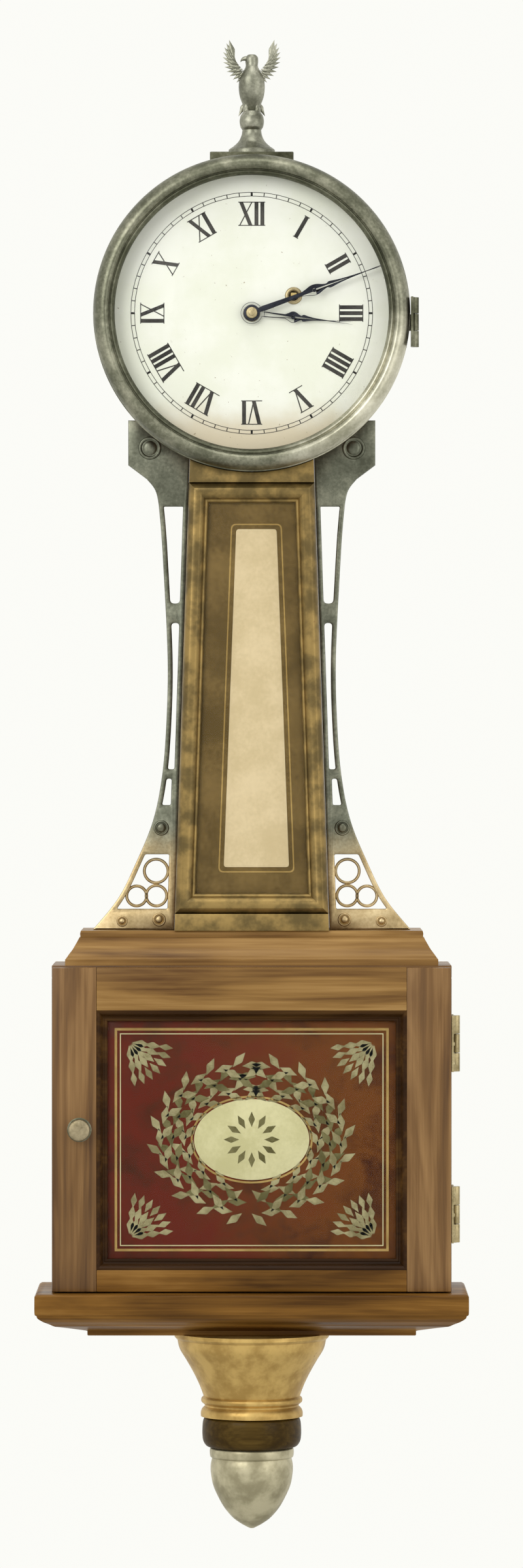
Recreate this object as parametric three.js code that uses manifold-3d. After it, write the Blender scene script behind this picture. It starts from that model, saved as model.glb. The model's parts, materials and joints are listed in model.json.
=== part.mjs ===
// Banjo clock: a weight-driven wall timepiece with a round head, a waisted throat and a box.
// Millimetres, +Z up, the front faces -Y. The origin is on the wall plane behind the dial's centre.
// Depths are distances from the wall, so a depth d lies at y = -d.
import * as THREE from 'three';
import { mergeVertices } from 'three/addons/utils/BufferGeometryUtils.js';
import Module from 'manifold-3d';

const wasm = await Module();
wasm.setup();

// Driving dimensions
const gap = 0.3; // seating and running gap between neighbouring pieces
const overrun = 2; // how far a cutting tool passes the face that it opens
const degree = Math.PI / 180;
const fullTurn = 2 * Math.PI;

const board = { thickness: 10 };
const head = { outer: 98, inner: 84, depth: 56 };
const throat = {
  halfAtHead: 40, halfAtFoot: 50, headZ: -93, wall: 6, depth: 50, frameThickness: 12,
};
const escapement = { wheelZ: 36, palletRise: 19.3 };
// The pendulum's length runs from its suspension to the bob's centre
const pendulum = { length: 588, bobRadius: 44, bobThickness: 14, rodBelowBob: 22, headZ: 46 };
const box = {
  halfWidth: 128.5, wall: 10, lid: 8, depth: 70, roomAboveBob: 60.7, roomBelowRod: 23.3, capHeight: 22,
};
const door = { thickness: 12, edgeGap: 0.5, stile: 36, topRail: 35.5, bottomRail: 22 };
const plates = {
  thickness: 2.5, between: 30.5, halfWidth: 54, top: 62, bottom: -32, lineShare: 0.54, toPendulum: 9.5,
};
const dial = { thickness: 1.5, rimInset: 1, centreHole: 5.5, windingHole: 4.3 };
const bezel = { outer: 102, opening: 88, thickness: 18.2, rebate: 4, rimHeight: 6 };

// The pendulum's length places the box round the bob, and the throat's foot on the box
const pivotZ = escapement.wheelZ + escapement.palletRise;
const bobZ = pivotZ - pendulum.length;
const rodFootZ = bobZ - pendulum.bobRadius - pendulum.rodBelowBob;
box.top = bobZ + pendulum.bobRadius + box.roomAboveBob + box.lid;
box.bottom = rodFootZ - box.roomBelowRod - box.lid;
throat.footZ = box.top + box.capHeight;

// Depth stations, from the wall forwards
const boardFront = board.thickness;
const backPlateFront = boardFront + plates.thickness;
const frontPlateBack = backPlateFront + plates.between;
const frontPlateFront = frontPlateBack + plates.thickness;
const headFront = boardFront + head.depth;
const dialFront = headFront + dial.thickness;
const bezelBack = dialFront + gap;
const bezelFront = bezelBack + bezel.thickness;
const throatWallFront = boardFront + throat.depth;
const throatFront = throatWallFront + throat.frameThickness;
const boxWallFront = boardFront + box.depth;
const doorBack = boxWallFront + gap;
const doorFront = doorBack + door.thickness;
const lineDepth = backPlateFront + plates.between * plates.lineShare;
const pendulumDepth = frontPlateFront + plates.toPendulum;

// Facets of the round forms
const facets = { great: 48, turned: 32, pulley: 24, small: 16, arbor: 12 };

const finish = {
  mahogany: { color: 0x6b3f1c, roughness: 0.45, metalness: 0 },
  pine: { color: 0x9a7446, roughness: 0.8, metalness: 0 },
  goldWood: { color: 0x9b7434, roughness: 0.4, metalness: 0.2 },
  gilt: { color: 0xb8934c, roughness: 0.35, metalness: 0.6 },
  darkBrass: { color: 0x5f6047, roughness: 0.4, metalness: 0.8 },
  brass: { color: 0xa89a72, roughness: 0.35, metalness: 0.9 },
  movementBrass: { color: 0xb8953f, roughness: 0.3, metalness: 0.95 },
  steel: { color: 0x8a8c8e, roughness: 0.3, metalness: 1 },
  blued: { color: 0x1c1c22, roughness: 0.35, metalness: 0.6 },
  iron: { color: 0x3a3836, roughness: 0.7, metalness: 0.6 },
  paintedDial: { color: 0xeef0e2, roughness: 0.5, metalness: 0 },
  tin: { color: 0x8f8d86, roughness: 0.5, metalness: 0.7 },
  clearGlass: { color: 0xe8f0ee, roughness: 0.05, metalness: 0, transparent: true, opacity: 0.25 },
  throatGlass: { color: 0xd9c79a, roughness: 0.2, metalness: 0 },
  tabletGlass: { color: 0x5c4420, roughness: 0.2, metalness: 0 },
  darkWood: { color: 0x3c2d16, roughness: 0.5, metalness: 0 },
  acorn: { color: 0x96916f, roughness: 0.5, metalness: 0.1 },
  gut: { color: 0xc7a566, roughness: 0.6, metalness: 0 },
};

const clock = new THREE.Group();

function addPart(name, geometry, look, place = {}) {
  const mesh = new THREE.Mesh(geometry, new THREE.MeshStandardMaterial(look));
  mesh.name = name;
  mesh.position.set(place.x ?? 0, 0, place.z ?? 0);
  mesh.rotation.y = place.turn ?? 0;
  clock.add(mesh);
}

// Closed meshes and booleans

// A copy with shared corners, no collapsed triangles and its faces pointing out
function closed(geometry) {
  const bare = geometry.clone();
  bare.deleteAttribute('normal');
  bare.deleteAttribute('uv');
  const merged = mergeVertices(bare);
  const place = merged.attributes.position;
  const [a, b, c] = [new THREE.Vector3(), new THREE.Vector3(), new THREE.Vector3()];
  const kept = [];
  let volume = 0;
  for (let i = 0; i < merged.index.count; i += 3) {
    const corners = [0, 1, 2].map((k) => merged.index.getX(i + k));
    if (new Set(corners).size < 3) continue;
    [a, b, c].forEach((corner, k) => corner.fromBufferAttribute(place, corners[k]));
    volume += a.dot(b.cross(c));
    kept.push(...corners);
  }
  if (volume < 0) kept.reverse();
  merged.setIndex(kept);
  return merged;
}

function toSolid(geometry) {
  const mesh = closed(geometry);
  return new wasm.Manifold(new wasm.Mesh({
    numProp: 3,
    vertProperties: new Float32Array(mesh.attributes.position.array),
    triVerts: new Uint32Array(mesh.index.array),
  }));
}

function fromSolid(solid) {
  const mesh = solid.getMesh();
  const geometry = new THREE.BufferGeometry();
  geometry.setAttribute('position', new THREE.BufferAttribute(mesh.vertProperties, 3));
  geometry.setIndex(new THREE.BufferAttribute(mesh.triVerts, 1));
  return geometry;
}

function join(first, ...others) {
  return fromSolid(others.reduce((sum, other) => sum.add(toSolid(other)), toSolid(first)));
}

function cut(first, ...tools) {
  return fromSolid(tools.reduce((rest, tool) => rest.subtract(toSolid(tool)), toSolid(first)));
}

// Basic forms

// A shape drawn in x and z, as seen from the front, and given depth
function frontSolid(shape, from, to, curveSegments = facets.arbor) {
  const geometry = new THREE.ExtrudeGeometry(shape, { depth: to - from, bevelEnabled: false, curveSegments });
  geometry.rotateX(Math.PI / 2);
  return geometry.translate(0, -from, 0);
}

// An outline always runs anticlockwise, so that any holes in it are cut the right way round
function outline(points) {
  const corners = points.map(([x, z]) => new THREE.Vector2(x, z));
  if (THREE.ShapeUtils.isClockWise(corners)) corners.reverse();
  return new THREE.Shape(corners);
}

// A box between two x, two depths and two heights
function block(x0, x1, from, to, z0, z1) {
  const geometry = new THREE.BoxGeometry(x1 - x0, to - from, z1 - z0);
  return geometry.translate((x0 + x1) / 2, -(from + to) / 2, (z0 + z1) / 2);
}

// A round bar along the depth
function barForward(radius, from, to, segments = facets.arbor, x = 0, z = 0) {
  const geometry = new THREE.CylinderGeometry(radius, radius, to - from, segments);
  return geometry.translate(x, -(from + to) / 2, z);
}

// An upright round bar
function barUp(radius, z0, z1, x, depth, segments = facets.arbor) {
  const geometry = new THREE.CylinderGeometry(radius, radius, z1 - z0, segments);
  geometry.rotateX(Math.PI / 2);
  return geometry.translate(x, -depth, (z0 + z1) / 2);
}

// A turning about the depth axis, from [radius, depth] points
function turnedForward(profile, segments) {
  return new THREE.LatheGeometry(profile.map(([r, d]) => new THREE.Vector2(r, -d)), segments);
}

// A turning about an upright axis at a depth, from [radius, z] points
function turnedUp(profile, segments, depth) {
  const geometry = new THREE.LatheGeometry(profile.map(([r, z]) => new THREE.Vector2(r, z)), segments);
  geometry.rotateX(Math.PI / 2);
  return geometry.translate(0, -depth, 0);
}

// A stepped arbor: [radius, where the step ends] after its start
function arbor(start, steps, segments = facets.arbor) {
  const profile = [[0, start]];
  let from = start;
  for (const [radius, to] of steps) {
    profile.push([radius, from], [radius, to]);
    from = to;
  }
  profile.push([0, from]);
  return turnedForward(profile, segments);
}

// A moulding mitred round three sides, flat at the back: levels are [how far it stands out, z]
function mitredMoulding(levels, halfWidth, back, front) {
  const corners = [];
  for (const [out, z] of levels) {
    const reach = halfWidth + out;
    corners.push([-reach, -back, z], [reach, -back, z], [reach, -front - out, z], [-reach, -front - out, z]);
  }
  const faces = [0, 1, 2, 0, 2, 3];
  for (let level = 0; level + 1 < levels.length; level += 1) {
    for (let side = 0; side < 4; side += 1) {
      const [a, b] = [4 * level + side, 4 * level + (side + 1) % 4];
      faces.push(a, a + 4, b, b, a + 4, b + 4);
    }
  }
  const last = corners.length - 4;
  faces.push(last, last + 2, last + 1, last, last + 3, last + 2);
  const geometry = new THREE.BufferGeometry();
  geometry.setAttribute('position', new THREE.Float32BufferAttribute(corners.flat(), 3));
  geometry.setIndex(faces);
  return geometry;
}

// Case

function throatHalf(z) {
  const share = (throat.headZ - z) / (throat.headZ - throat.footZ);
  return throat.halfAtHead + share * (throat.halfAtFoot - throat.halfAtHead);
}

const throatWellHalf = throat.halfAtFoot - throat.wall; // half width of the well that the weight runs in

const hanger = {
  halfWidth: 18, bottom: 58, top: 90, thickness: 1.5, holeRadius: 5, holeZ: 70, slotHalf: 2.2,
  slotTop: 82, pocketHalf: 9, pocketDepth: 8,
};

function backboard() {
  const meetZ = -Math.sqrt(head.outer ** 2 - throat.halfAtHead ** 2);
  const meetAngle = Math.atan2(meetZ, throat.halfAtHead);
  const shape = new THREE.Shape();
  shape.absarc(0, 0, head.outer, meetAngle, Math.PI - meetAngle, false);
  shape.lineTo(-throat.halfAtFoot, throat.footZ);
  shape.lineTo(-throat.halfAtFoot, box.top);
  shape.lineTo(-box.halfWidth, box.top);
  shape.lineTo(-box.halfWidth, box.bottom);
  shape.lineTo(box.halfWidth, box.bottom);
  shape.lineTo(box.halfWidth, box.top);
  shape.lineTo(throat.halfAtFoot, box.top);
  shape.lineTo(throat.halfAtFoot, throat.footZ);
  const recess = block(-hanger.halfWidth - gap, hanger.halfWidth + gap, -overrun, hanger.thickness + gap,
    hanger.bottom - gap, hanger.top + gap);
  const pocket = block(-hanger.pocketHalf, hanger.pocketHalf, -overrun, hanger.pocketDepth,
    hanger.holeZ - hanger.pocketHalf, hanger.slotTop + hanger.holeRadius);
  return cut(frontSolid(shape, 0, board.thickness, facets.great / 2), recess, pocket);
}

function hangerPlate() {
  const plate = block(-hanger.halfWidth, hanger.halfWidth, 0, hanger.thickness, hanger.bottom, hanger.top);
  const through = hanger.thickness + overrun;
  const hole = barForward(hanger.holeRadius, -overrun, through, facets.small, 0, hanger.holeZ);
  const slot = block(-hanger.slotHalf, hanger.slotHalf, -overrun, through, hanger.holeZ, hanger.slotTop);
  return cut(plate, hole, slot);
}

function headRing() {
  const mouthHalf = throat.halfAtHead - throat.wall;
  const ring = new THREE.Shape().absarc(0, 0, head.outer, 0, fullTurn, false);
  ring.holes.push(new THREE.Path().absarc(0, 0, head.inner, 0, fullTurn, true));
  const mouth = block(-mouthHalf, mouthHalf, boardFront - overrun, headFront + overrun,
    -head.outer - overrun, 0);
  return cut(frontSolid(ring, boardFront, headFront, facets.great / 2), mouth);
}

// A disc a little larger than the head or the bezel, to fit neighbours round it
function roundClearance(radius, from, to) {
  return barForward(radius + gap, from - overrun, to + overrun, facets.great);
}

function throatSide(side) {
  const edge = (z, inset) => side * (throatHalf(z) - inset);
  const shape = outline([
    [edge(0, throat.wall), 0], [edge(0, 0), 0],
    [edge(throat.footZ, 0), throat.footZ], [edge(throat.footZ, throat.wall), throat.footZ],
  ]);
  return cut(frontSolid(shape, boardFront, throatWallFront),
    roundClearance(head.outer, boardFront, throatWallFront));
}

const throatPanel = { stile: 13, top: -122, footRail: 24, rebate: 3, lip: 6.5, glass: 2 };
throatPanel.bottom = throat.footZ + throatPanel.footRail;

function throatOutline(top, bottom, inset) {
  return outline([
    [-throatHalf(top) + inset, top], [throatHalf(top) - inset, top],
    [throatHalf(bottom) - inset, bottom], [-throatHalf(bottom) + inset, bottom],
  ]);
}

function throatFrame() {
  const { stile, top, bottom, rebate, lip } = throatPanel;
  const bars = frontSolid(throatOutline(0, throat.footZ, 0), throatWallFront, throatFront);
  const back = throatWallFront - overrun;
  const window = frontSolid(throatOutline(top, bottom, stile), back, throatFront + overrun);
  const seat = frontSolid(throatOutline(top + rebate, bottom - rebate, stile - rebate), back,
    throatFront - lip);
  return cut(bars, roundClearance(bezel.outer, throatWallFront, throatFront), window, seat);
}

function throatGlass() {
  const { stile, top, bottom, rebate, lip, glass } = throatPanel;
  const front = throatFront - lip - gap;
  return frontSolid(throatOutline(top + rebate - gap, bottom - rebate + gap, stile - rebate + gap),
    front - glass, front);
}

// Pierced side arm: the outer edge as [share of the height, share of the neck's reach beyond the waist,
// share of the foot's reach beyond the waist]
const armShares = [
  [0, 1, 0], [0.03, 0.55, 0], [0.09, 0.36, 0], [0.2, 0.2, 0], [0.4, 0, 0], [0.55, 0, 0.02],
  [0.665, 0, 0.08], [0.76, 0, 0.2], [0.85, 0, 0.42], [0.93, 0, 0.66], [1, 0, 1],
];
const arm = {
  back: 36, thickness: 8, bar: 3.2, shoulderHalf: 80, shoulderTop: -68, shoulderFoot: -97, neckZ: -106,
  neckHalf: 68, waistHalf: 54.5, footHalf: 103,
};
// Windows as [from, to] along the outer edge, then the bar beside the throat as a multiple of arm.bar
const armWindowShares = [[0.164, 0.34, 1], [0.355, 0.576, 1], [0.6, 0.657, 1.5], [0.784, 0.927, 1.5]];

function armEdge(side) {
  const height = arm.neckZ - throat.footZ;
  const points = armShares.map(([down, neck, foot]) => new THREE.Vector2(
    side * (arm.waistHalf + neck * (arm.neckHalf - arm.waistHalf) + foot * (arm.footHalf - arm.waistHalf)),
    arm.neckZ - down * height,
  ));
  return new THREE.SplineCurve(points);
}

function armWindow(edge, side, fromShare, toShare, innerBars) {
  const steps = 6;
  const outer = [];
  const inner = [];
  for (let step = 0; step <= steps; step += 1) {
    const at = fromShare + (toShare - fromShare) * step / steps;
    const point = edge.getPoint(at);
    const tangent = edge.getTangent(at);
    const inset = arm.bar * Math.hypot(tangent.x, tangent.y) / Math.abs(tangent.y);
    outer.push(new THREE.Vector2(point.x - side * inset, point.y));
    inner.push(new THREE.Vector2(side * (throatHalf(point.y) + gap + innerBars * arm.bar), point.y));
  }
  return new THREE.Path([...outer, ...inner.reverse()]);
}

function sideArm(side) {
  const edge = armEdge(side);
  const steps = 24;
  const inner = (z) => side * (throatHalf(z) + gap);
  const shape = outline([
    [inner(arm.shoulderTop), arm.shoulderTop], [side * arm.shoulderHalf, arm.shoulderTop],
    [side * arm.shoulderHalf, arm.shoulderFoot],
    ...edge.getPoints(steps).map((point) => [point.x, point.y]),
    [inner(throat.footZ), throat.footZ],
  ]);
  for (const [from, to, innerBars] of armWindowShares) {
    shape.holes.push(armWindow(edge, side, from, to, innerBars));
  }
  const front = arm.back + arm.thickness;
  return cut(frontSolid(shape, arm.back, front), roundClearance(head.outer, arm.back, front));
}

// Cap moulding on the box: [how far it stands out, z as a share of its height from the box's top]
const cap = { half: 110, front: 68, reach: 10 };
const capShares = [
  [1, 0], [1, 0.2], [0.8, 0.3], [0.55, 0.45], [0.35, 0.62], [0.15, 0.8], [0.05, 0.92], [0.05, 1],
];

function capMoulding() {
  const levels = capShares.map(([out, up]) => [out * cap.reach, box.top + up * box.capHeight]);
  const boardNotch = block(-throat.halfAtFoot - gap, throat.halfAtFoot + gap, -overrun, boardFront,
    box.top - overrun, throat.footZ + overrun);
  return cut(mitredMoulding(levels, cap.half, 0, cap.front), boardNotch,
    wellCut(box.top - overrun, throat.footZ + overrun));
}

// The well through the lid and the cap, for the weight, the line and the pendulum
function wellCut(low, high) {
  return block(-throatWellHalf, throatWellHalf, 0, throatWallFront, low, high);
}

function boxTop() {
  const lid = block(-box.halfWidth, box.halfWidth, boardFront, boxWallFront, box.top - box.lid, box.top);
  return cut(lid, wellCut(box.top - box.lid - overrun, box.top + overrun));
}

const latch = {
  x: -(box.halfWidth - door.stile / 2), z: (box.top + box.bottom) / 2, shaft: 2, knob: 7, knobDepth: 8,
  tongueHalf: 4, tongueLength: 12.5, tongueThickness: 2, tongueInset: 4.8, mortiseSlack: 1,
};

function boxSide(side) {
  const [x0, x1] = [side * (box.halfWidth - box.wall), side * box.halfWidth];
  return block(Math.min(x0, x1), Math.max(x0, x1), boardFront, boxWallFront, box.bottom, box.top - box.lid);
}

// The mortise in the left side takes the latch's tongue
function boxSideLeft() {
  const inner = -(box.halfWidth - box.wall);
  const sweep = Math.hypot(latch.tongueLength, latch.tongueHalf) + gap;
  const reach = inner - latch.x;
  const low = latch.z - Math.sqrt(sweep ** 2 - reach ** 2) - gap;
  const front = doorBack - latch.tongueInset;
  const back = front - latch.tongueThickness;
  const mortise = block(latch.x - sweep - gap, inner + overrun, back - latch.mortiseSlack,
    front + latch.mortiseSlack, low, latch.z + latch.tongueHalf + gap);
  return cut(boxSide(-1), mortise);
}

function boxBottom() {
  const half = box.halfWidth - box.wall;
  return block(-half, half, boardFront, boxWallFront, box.bottom, box.bottom + box.lid);
}

// Base moulding: [share of its reach, share of its height down from the box]
const base = { reach: 10.5, height: 29, tuck: 23.5 };
const baseShares = [
  [0.55, 0, 0], [1, 0, 0.08], [1, 0, 0.42], [0.8, 0, 0.52], [0.4, 0, 0.64], [0, 0.25, 0.74],
  [0, 0.6, 0.82], [0, 1, 0.9], [0, 1, 1],
];

function baseMoulding() {
  const levels = baseShares.map(([out, tuck, down]) => [
    out * base.reach - tuck * base.tuck, box.bottom - down * base.height,
  ]);
  return mitredMoulding(levels.reverse(), box.halfWidth, 0, doorFront);
}

// Pendant under the box: gilt cup, dark collar and acorn, each as [share of radius, share of height]
const pendant = {
  depth: 46, top: box.bottom - base.height, cupRadius: 50, cupHeight: 54, collarRadius: 32,
  collarHeight: 20, acornRadius: 27, acornHeight: 53,
};
const cupShares = [
  [0, 0], [1, 0], [1, 0.08], [0.92, 0.22], [0.81, 0.38], [0.72, 0.54], [0.65, 0.7], [0.62, 0.84],
  [0.66, 0.93], [0.66, 1], [0, 1],
];
const collarShares = [[0, 0], [0.88, 0], [0.97, 0.18], [1, 0.5], [0.97, 0.8], [0.84, 1], [0, 1]];
const acornShares = [
  [0, 0], [0.9, 0], [1, 0.07], [1, 0.22], [0.98, 0.36], [0.92, 0.5], [0.8, 0.64], [0.65, 0.76],
  [0.46, 0.87], [0.24, 0.95], [0.07, 1], [0, 1],
];

function pendantTurning(shares, radius, top, height) {
  return closed(turnedUp(shares.map(([r, down]) => [r * radius, top - down * height]), facets.turned,
    pendant.depth));
}

function bracketCup() {
  const cup = pendantTurning(cupShares, pendant.cupRadius, pendant.top, pendant.cupHeight);
  const half = pendant.cupRadius + overrun;
  const low = pendant.top - pendant.cupHeight - overrun;
  return cut(cup, block(-half, half, -half, 0, low, pendant.top + overrun));
}

// Finial: a plinth on the head, and a spread eagle on a turned stem
const finial = {
  depth: 40, plinthHalf: 27, plinthDepthHalf: 16, plinthTop: 105, stemRadius: 15, stemTop: 134,
  bodyRadius: 8.5, bodyTop: 164, headRadius: 4.4, beakLength: 8, beakRadius: 2, wingSpan: 18,
  wingTop: 180, wingThickness: 3.4, tailLength: 12,
};
const stemShares = [
  [0, 0], [1, 0], [1, 0.1], [0.8, 0.17], [0.58, 0.28], [0.45, 0.42], [0.4, 0.55], [0.48, 0.66],
  [0.5, 0.78], [0.42, 0.9], [0.45, 1], [0, 1],
];
const eagleBodyShares = [
  [0, 0], [0.45, 0.04], [0.75, 0.2], [1, 0.45], [0.95, 0.65], [0.6, 0.84], [0.45, 0.95], [0, 1],
];
const wingShares = [
  [0.11, 0.3], [0.39, 0.35], [0.69, 0.42], [0.92, 0.53], [1, 0.67], [0.94, 0.84], [0.81, 1],
  [0.71, 0.87], [0.61, 0.73], [0.44, 0.61], [0.25, 0.52], [0.11, 0.5],
];

function finialPlinth() {
  const { depth, plinthHalf, plinthDepthHalf, plinthTop } = finial;
  const plinth = block(-plinthHalf, plinthHalf, depth - plinthDepthHalf, depth + plinthDepthHalf, 0,
    plinthTop);
  return cut(plinth, roundClearance(head.outer, boardFront, headFront));
}

function eagleFinial() {
  const stem = stemShares.map(([r, up]) => [
    r * finial.stemRadius, finial.plinthTop + up * (finial.stemTop - finial.plinthTop),
  ]);
  const bodyHeight = finial.bodyTop - finial.stemTop + overrun;
  const bodyLow = finial.stemTop - overrun;
  const body = eagleBodyShares.map(([r, up]) => [r * finial.bodyRadius, bodyLow + up * bodyHeight]);
  const wingHeight = finial.wingTop - finial.stemTop;
  const wingFrom = finial.depth - finial.wingThickness / 2;
  const wing = (side) => frontSolid(outline(wingShares.map(([out, up]) => [
    side * out * finial.wingSpan, finial.stemTop + up * wingHeight,
  ])), wingFrom, wingFrom + finial.wingThickness);
  const skull = new THREE.SphereGeometry(finial.headRadius, facets.arbor, facets.arbor / 2);
  skull.translate(0, -finial.depth, finial.bodyTop);
  const beak = new THREE.ConeGeometry(finial.beakRadius, finial.beakLength, facets.arbor / 2);
  beak.rotateZ(Math.PI / 2);
  beak.translate(-finial.beakLength / 2 - finial.headRadius / 2, -finial.depth, finial.bodyTop);
  const tail = block(-finial.bodyRadius / 2, finial.bodyRadius / 2, finial.depth - finial.tailLength,
    finial.depth, finial.stemTop, finial.stemTop + finial.wingThickness);
  return join(turnedUp(stem, facets.small, finial.depth), turnedUp(body, facets.small, finial.depth),
    wing(1), wing(-1), skull, beak, tail);
}

addPart('backboard', backboard(), finish.pine);
addPart('hanger_plate', hangerPlate(), finish.iron);
addPart('head_ring', headRing(), finish.mahogany);
addPart('throat_side_left', throatSide(-1), finish.mahogany);
addPart('throat_side_right', throatSide(1), finish.mahogany);
addPart('throat_frame', throatFrame(), finish.goldWood);
addPart('throat_glass', throatGlass(), finish.throatGlass);
addPart('side_arm_left', sideArm(-1), finish.brass);
addPart('side_arm_right', sideArm(1), finish.brass);
addPart('cap_moulding', capMoulding(), finish.mahogany);
addPart('box_top', boxTop(), finish.pine);
addPart('box_side_left', boxSideLeft(), finish.mahogany);
addPart('box_side_right', boxSide(1), finish.mahogany);
addPart('box_bottom', boxBottom(), finish.pine);
addPart('base_moulding', baseMoulding(), finish.mahogany);
addPart('bracket_cup', bracketCup(), finish.gilt);
const collarTop = pendant.top - pendant.cupHeight;
addPart('pendant_collar', pendantTurning(collarShares, pendant.collarRadius, collarTop, pendant.collarHeight),
  finish.darkWood);
addPart('pendant_acorn', pendantTurning(acornShares, pendant.acornRadius, collarTop - pendant.collarHeight,
  pendant.acornHeight), finish.acorn);
addPart('finial_plinth', finialPlinth(), finish.darkBrass);
addPart('eagle_finial', eagleFinial(), finish.brass);

// Bezel, its glass and its hinge

const dome = { edge: 86, rise: 10.5, thickness: 2, rimFromBack: 9.2 };
// The bezel's crown: [share of its width in from the rim, share of the height over the glass's seat]
const crownShares = [[0.12, 0.25], [0.34, 0.75], [0.58, 1], [0.86, 0.75], [1, 0.4]];

function bezelRing() {
  const { outer, opening, rebate, rimHeight } = bezel;
  const seatRadius = opening + rebate;
  const lipBack = bezelBack + dome.rimFromBack + dome.thickness + gap;
  const crown = bezelFront - lipBack;
  const width = outer - opening;
  return closed(turnedForward([
    [seatRadius, bezelBack], [outer, bezelBack], [outer, bezelBack + rimHeight],
    ...crownShares.map(([across, up]) => [outer - across * width, lipBack + up * crown]),
    [opening, lipBack], [seatRadius, lipBack], [seatRadius, bezelBack],
  ], facets.great));
}

function bezelGlass() {
  const rimRadius = bezel.opening + bezel.rebate - gap;
  const rimBack = bezelBack + dome.rimFromBack;
  const rimFront = rimBack + dome.thickness;
  const steps = 5;
  const domed = (level, edge) => Array.from({ length: steps }, (unused, step) => {
    const r = edge * (1 - step / steps);
    return [r, level + dome.rise * (1 - (r / edge) ** 2)];
  });
  const outerFace = domed(rimFront, dome.edge);
  const innerFace = domed(rimBack, dome.edge);
  return closed(turnedForward([
    [0, rimBack + dome.rise], ...innerFace.reverse(), [rimRadius, rimBack], [rimRadius, rimFront],
    ...outerFace, [0, rimFront + dome.rise],
  ], facets.turned));
}

// A butt hinge of three knuckles about an upright axis
const hingeOffset = { bezelOut: 3, bezelForward: 2.2, doorOut: 2.9, doorInset: 50 };
const bezelHinge = {
  x: bezel.outer + hingeOffset.bezelOut, depth: bezelBack + hingeOffset.bezelForward, z: -6, length: 32,
  knuckle: 2.6, pin: 1.2, leaf: 1.5, leafDepth: 20, flap: 9,
};
const doorHinge = {
  x: box.halfWidth + hingeOffset.doorOut, depth: boxWallFront + gap / 2, length: 36, knuckle: 2.4, pin: 1,
  leaf: 1.3, leafDepth: 18, flap: 8, upperZ: box.top - hingeOffset.doorInset,
  lowerZ: box.bottom + hingeOffset.doorInset,
};

function knuckles(hinge, ranges) {
  return ranges.map(([low, high]) => barUp(hinge.knuckle, low, high, hinge.x, hinge.depth));
}

function boreFor(hinge, low, high) {
  return barUp(hinge.pin + gap, low - overrun, high + overrun, hinge.x, hinge.depth);
}

function hingeThirds(hinge, z) {
  const low = z - hinge.length / 2;
  const high = z + hinge.length / 2;
  const third = hinge.length / 3;
  const ends = [[low, low + third - gap], [high - third + gap, high]];
  return { low, high, middle: [low + third, high - third], ends };
}

// The leaf screwed to the case carries the middle knuckle
function caseLeaf(hinge, z, plateX) {
  const { low, high, middle } = hingeThirds(hinge, z);
  const [barrel] = knuckles(hinge, [middle]);
  const plateFront = hinge.depth - hinge.knuckle - gap;
  const plate = block(plateX, plateX + hinge.leaf, hinge.depth - hinge.leafDepth, plateFront, low, high);
  const tongue = block(plateX, hinge.x, plateFront - hinge.leaf, plateFront, middle[0], middle[1]);
  const root = block(hinge.x - hinge.leaf, hinge.x + hinge.leaf, plateFront - hinge.leaf,
    hinge.depth - hinge.pin, middle[0], middle[1]);
  return cut(join(plate, tongue, root, barrel), boreFor(hinge, low, high));
}

// The leaf on the moving part carries the two end knuckles
function flapLeaf(hinge, z, plateX) {
  const { low, high, ends } = hingeThirds(hinge, z);
  const plateBack = hinge.depth + hinge.knuckle + gap;
  const plate = block(plateX, plateX + hinge.leaf, plateBack, plateBack + hinge.flap, low, high);
  const arms = ends.map(([from, to]) => block(plateX, hinge.x, hinge.depth + hinge.pin + gap,
    plateBack + hinge.leaf, from, to));
  return cut(join(plate, ...arms, ...knuckles(hinge, ends)), boreFor(hinge, low, high));
}

function hingePin(hinge, z) {
  return closed(barUp(hinge.pin, z - hinge.length / 2, z + hinge.length / 2, hinge.x, hinge.depth));
}

addPart('bezel', bezelRing(), finish.darkBrass);
addPart('bezel_glass', bezelGlass(), finish.clearGlass);
addPart('bezel_hinge_case_leaf', caseLeaf(bezelHinge, bezelHinge.z, head.outer + gap), finish.darkBrass);
addPart('bezel_hinge_leaf', flapLeaf(bezelHinge, bezelHinge.z, bezel.outer + gap), finish.darkBrass);
addPart('bezel_hinge_pin', hingePin(bezelHinge, bezelHinge.z), finish.steel);

// Lower door with its tablet, hinges and latch

const tablet = { rebate: 4, lip: 6.3, glass: 2.7 };
const knobShares = [[0.6, 0.2], [0.45, 0.5], [1, 1]]; // the knob's steps: [share of radius, share of depth]
const doorHalf = box.halfWidth - door.edgeGap;
const doorTop = box.top - 2 * door.edgeGap;
const doorBottom = box.bottom + 2 * door.edgeGap;

// The door's window, grown on every side, between two depths
function doorWindow(grow, from, to) {
  const half = box.halfWidth - door.stile + grow;
  return block(-half, half, from, to, box.bottom + door.bottomRail - grow, box.top - door.topRail + grow);
}

function doorFrame() {
  const slab = block(-doorHalf, doorHalf, doorBack, doorFront, doorBottom, doorTop);
  const shaftHole = barForward(latch.shaft + gap, doorBack - overrun, doorFront + overrun, facets.arbor,
    latch.x, latch.z);
  return cut(slab, doorWindow(0, doorBack - overrun, doorFront + overrun),
    doorWindow(tablet.rebate, doorBack - overrun, doorFront - tablet.lip), shaftHole);
}

function doorTablet() {
  const front = doorFront - tablet.lip - gap;
  return doorWindow(tablet.rebate - gap, front - tablet.glass, front);
}

function doorLatch() {
  const tongueFront = doorBack - latch.tongueInset;
  const tongueBack = tongueFront - latch.tongueThickness;
  const knobBack = doorFront + gap;
  const shaft = arbor(tongueBack, [[latch.shaft, knobBack], ...knobShares.map(([r, along]) => [
    r * latch.knob, knobBack + along * latch.knobDepth,
  ])]);
  const tongue = block(-latch.tongueHalf, latch.tongueHalf, tongueBack, tongueFront, -latch.tongueLength,
    latch.tongueHalf);
  return join(shaft, tongue);
}

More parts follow.
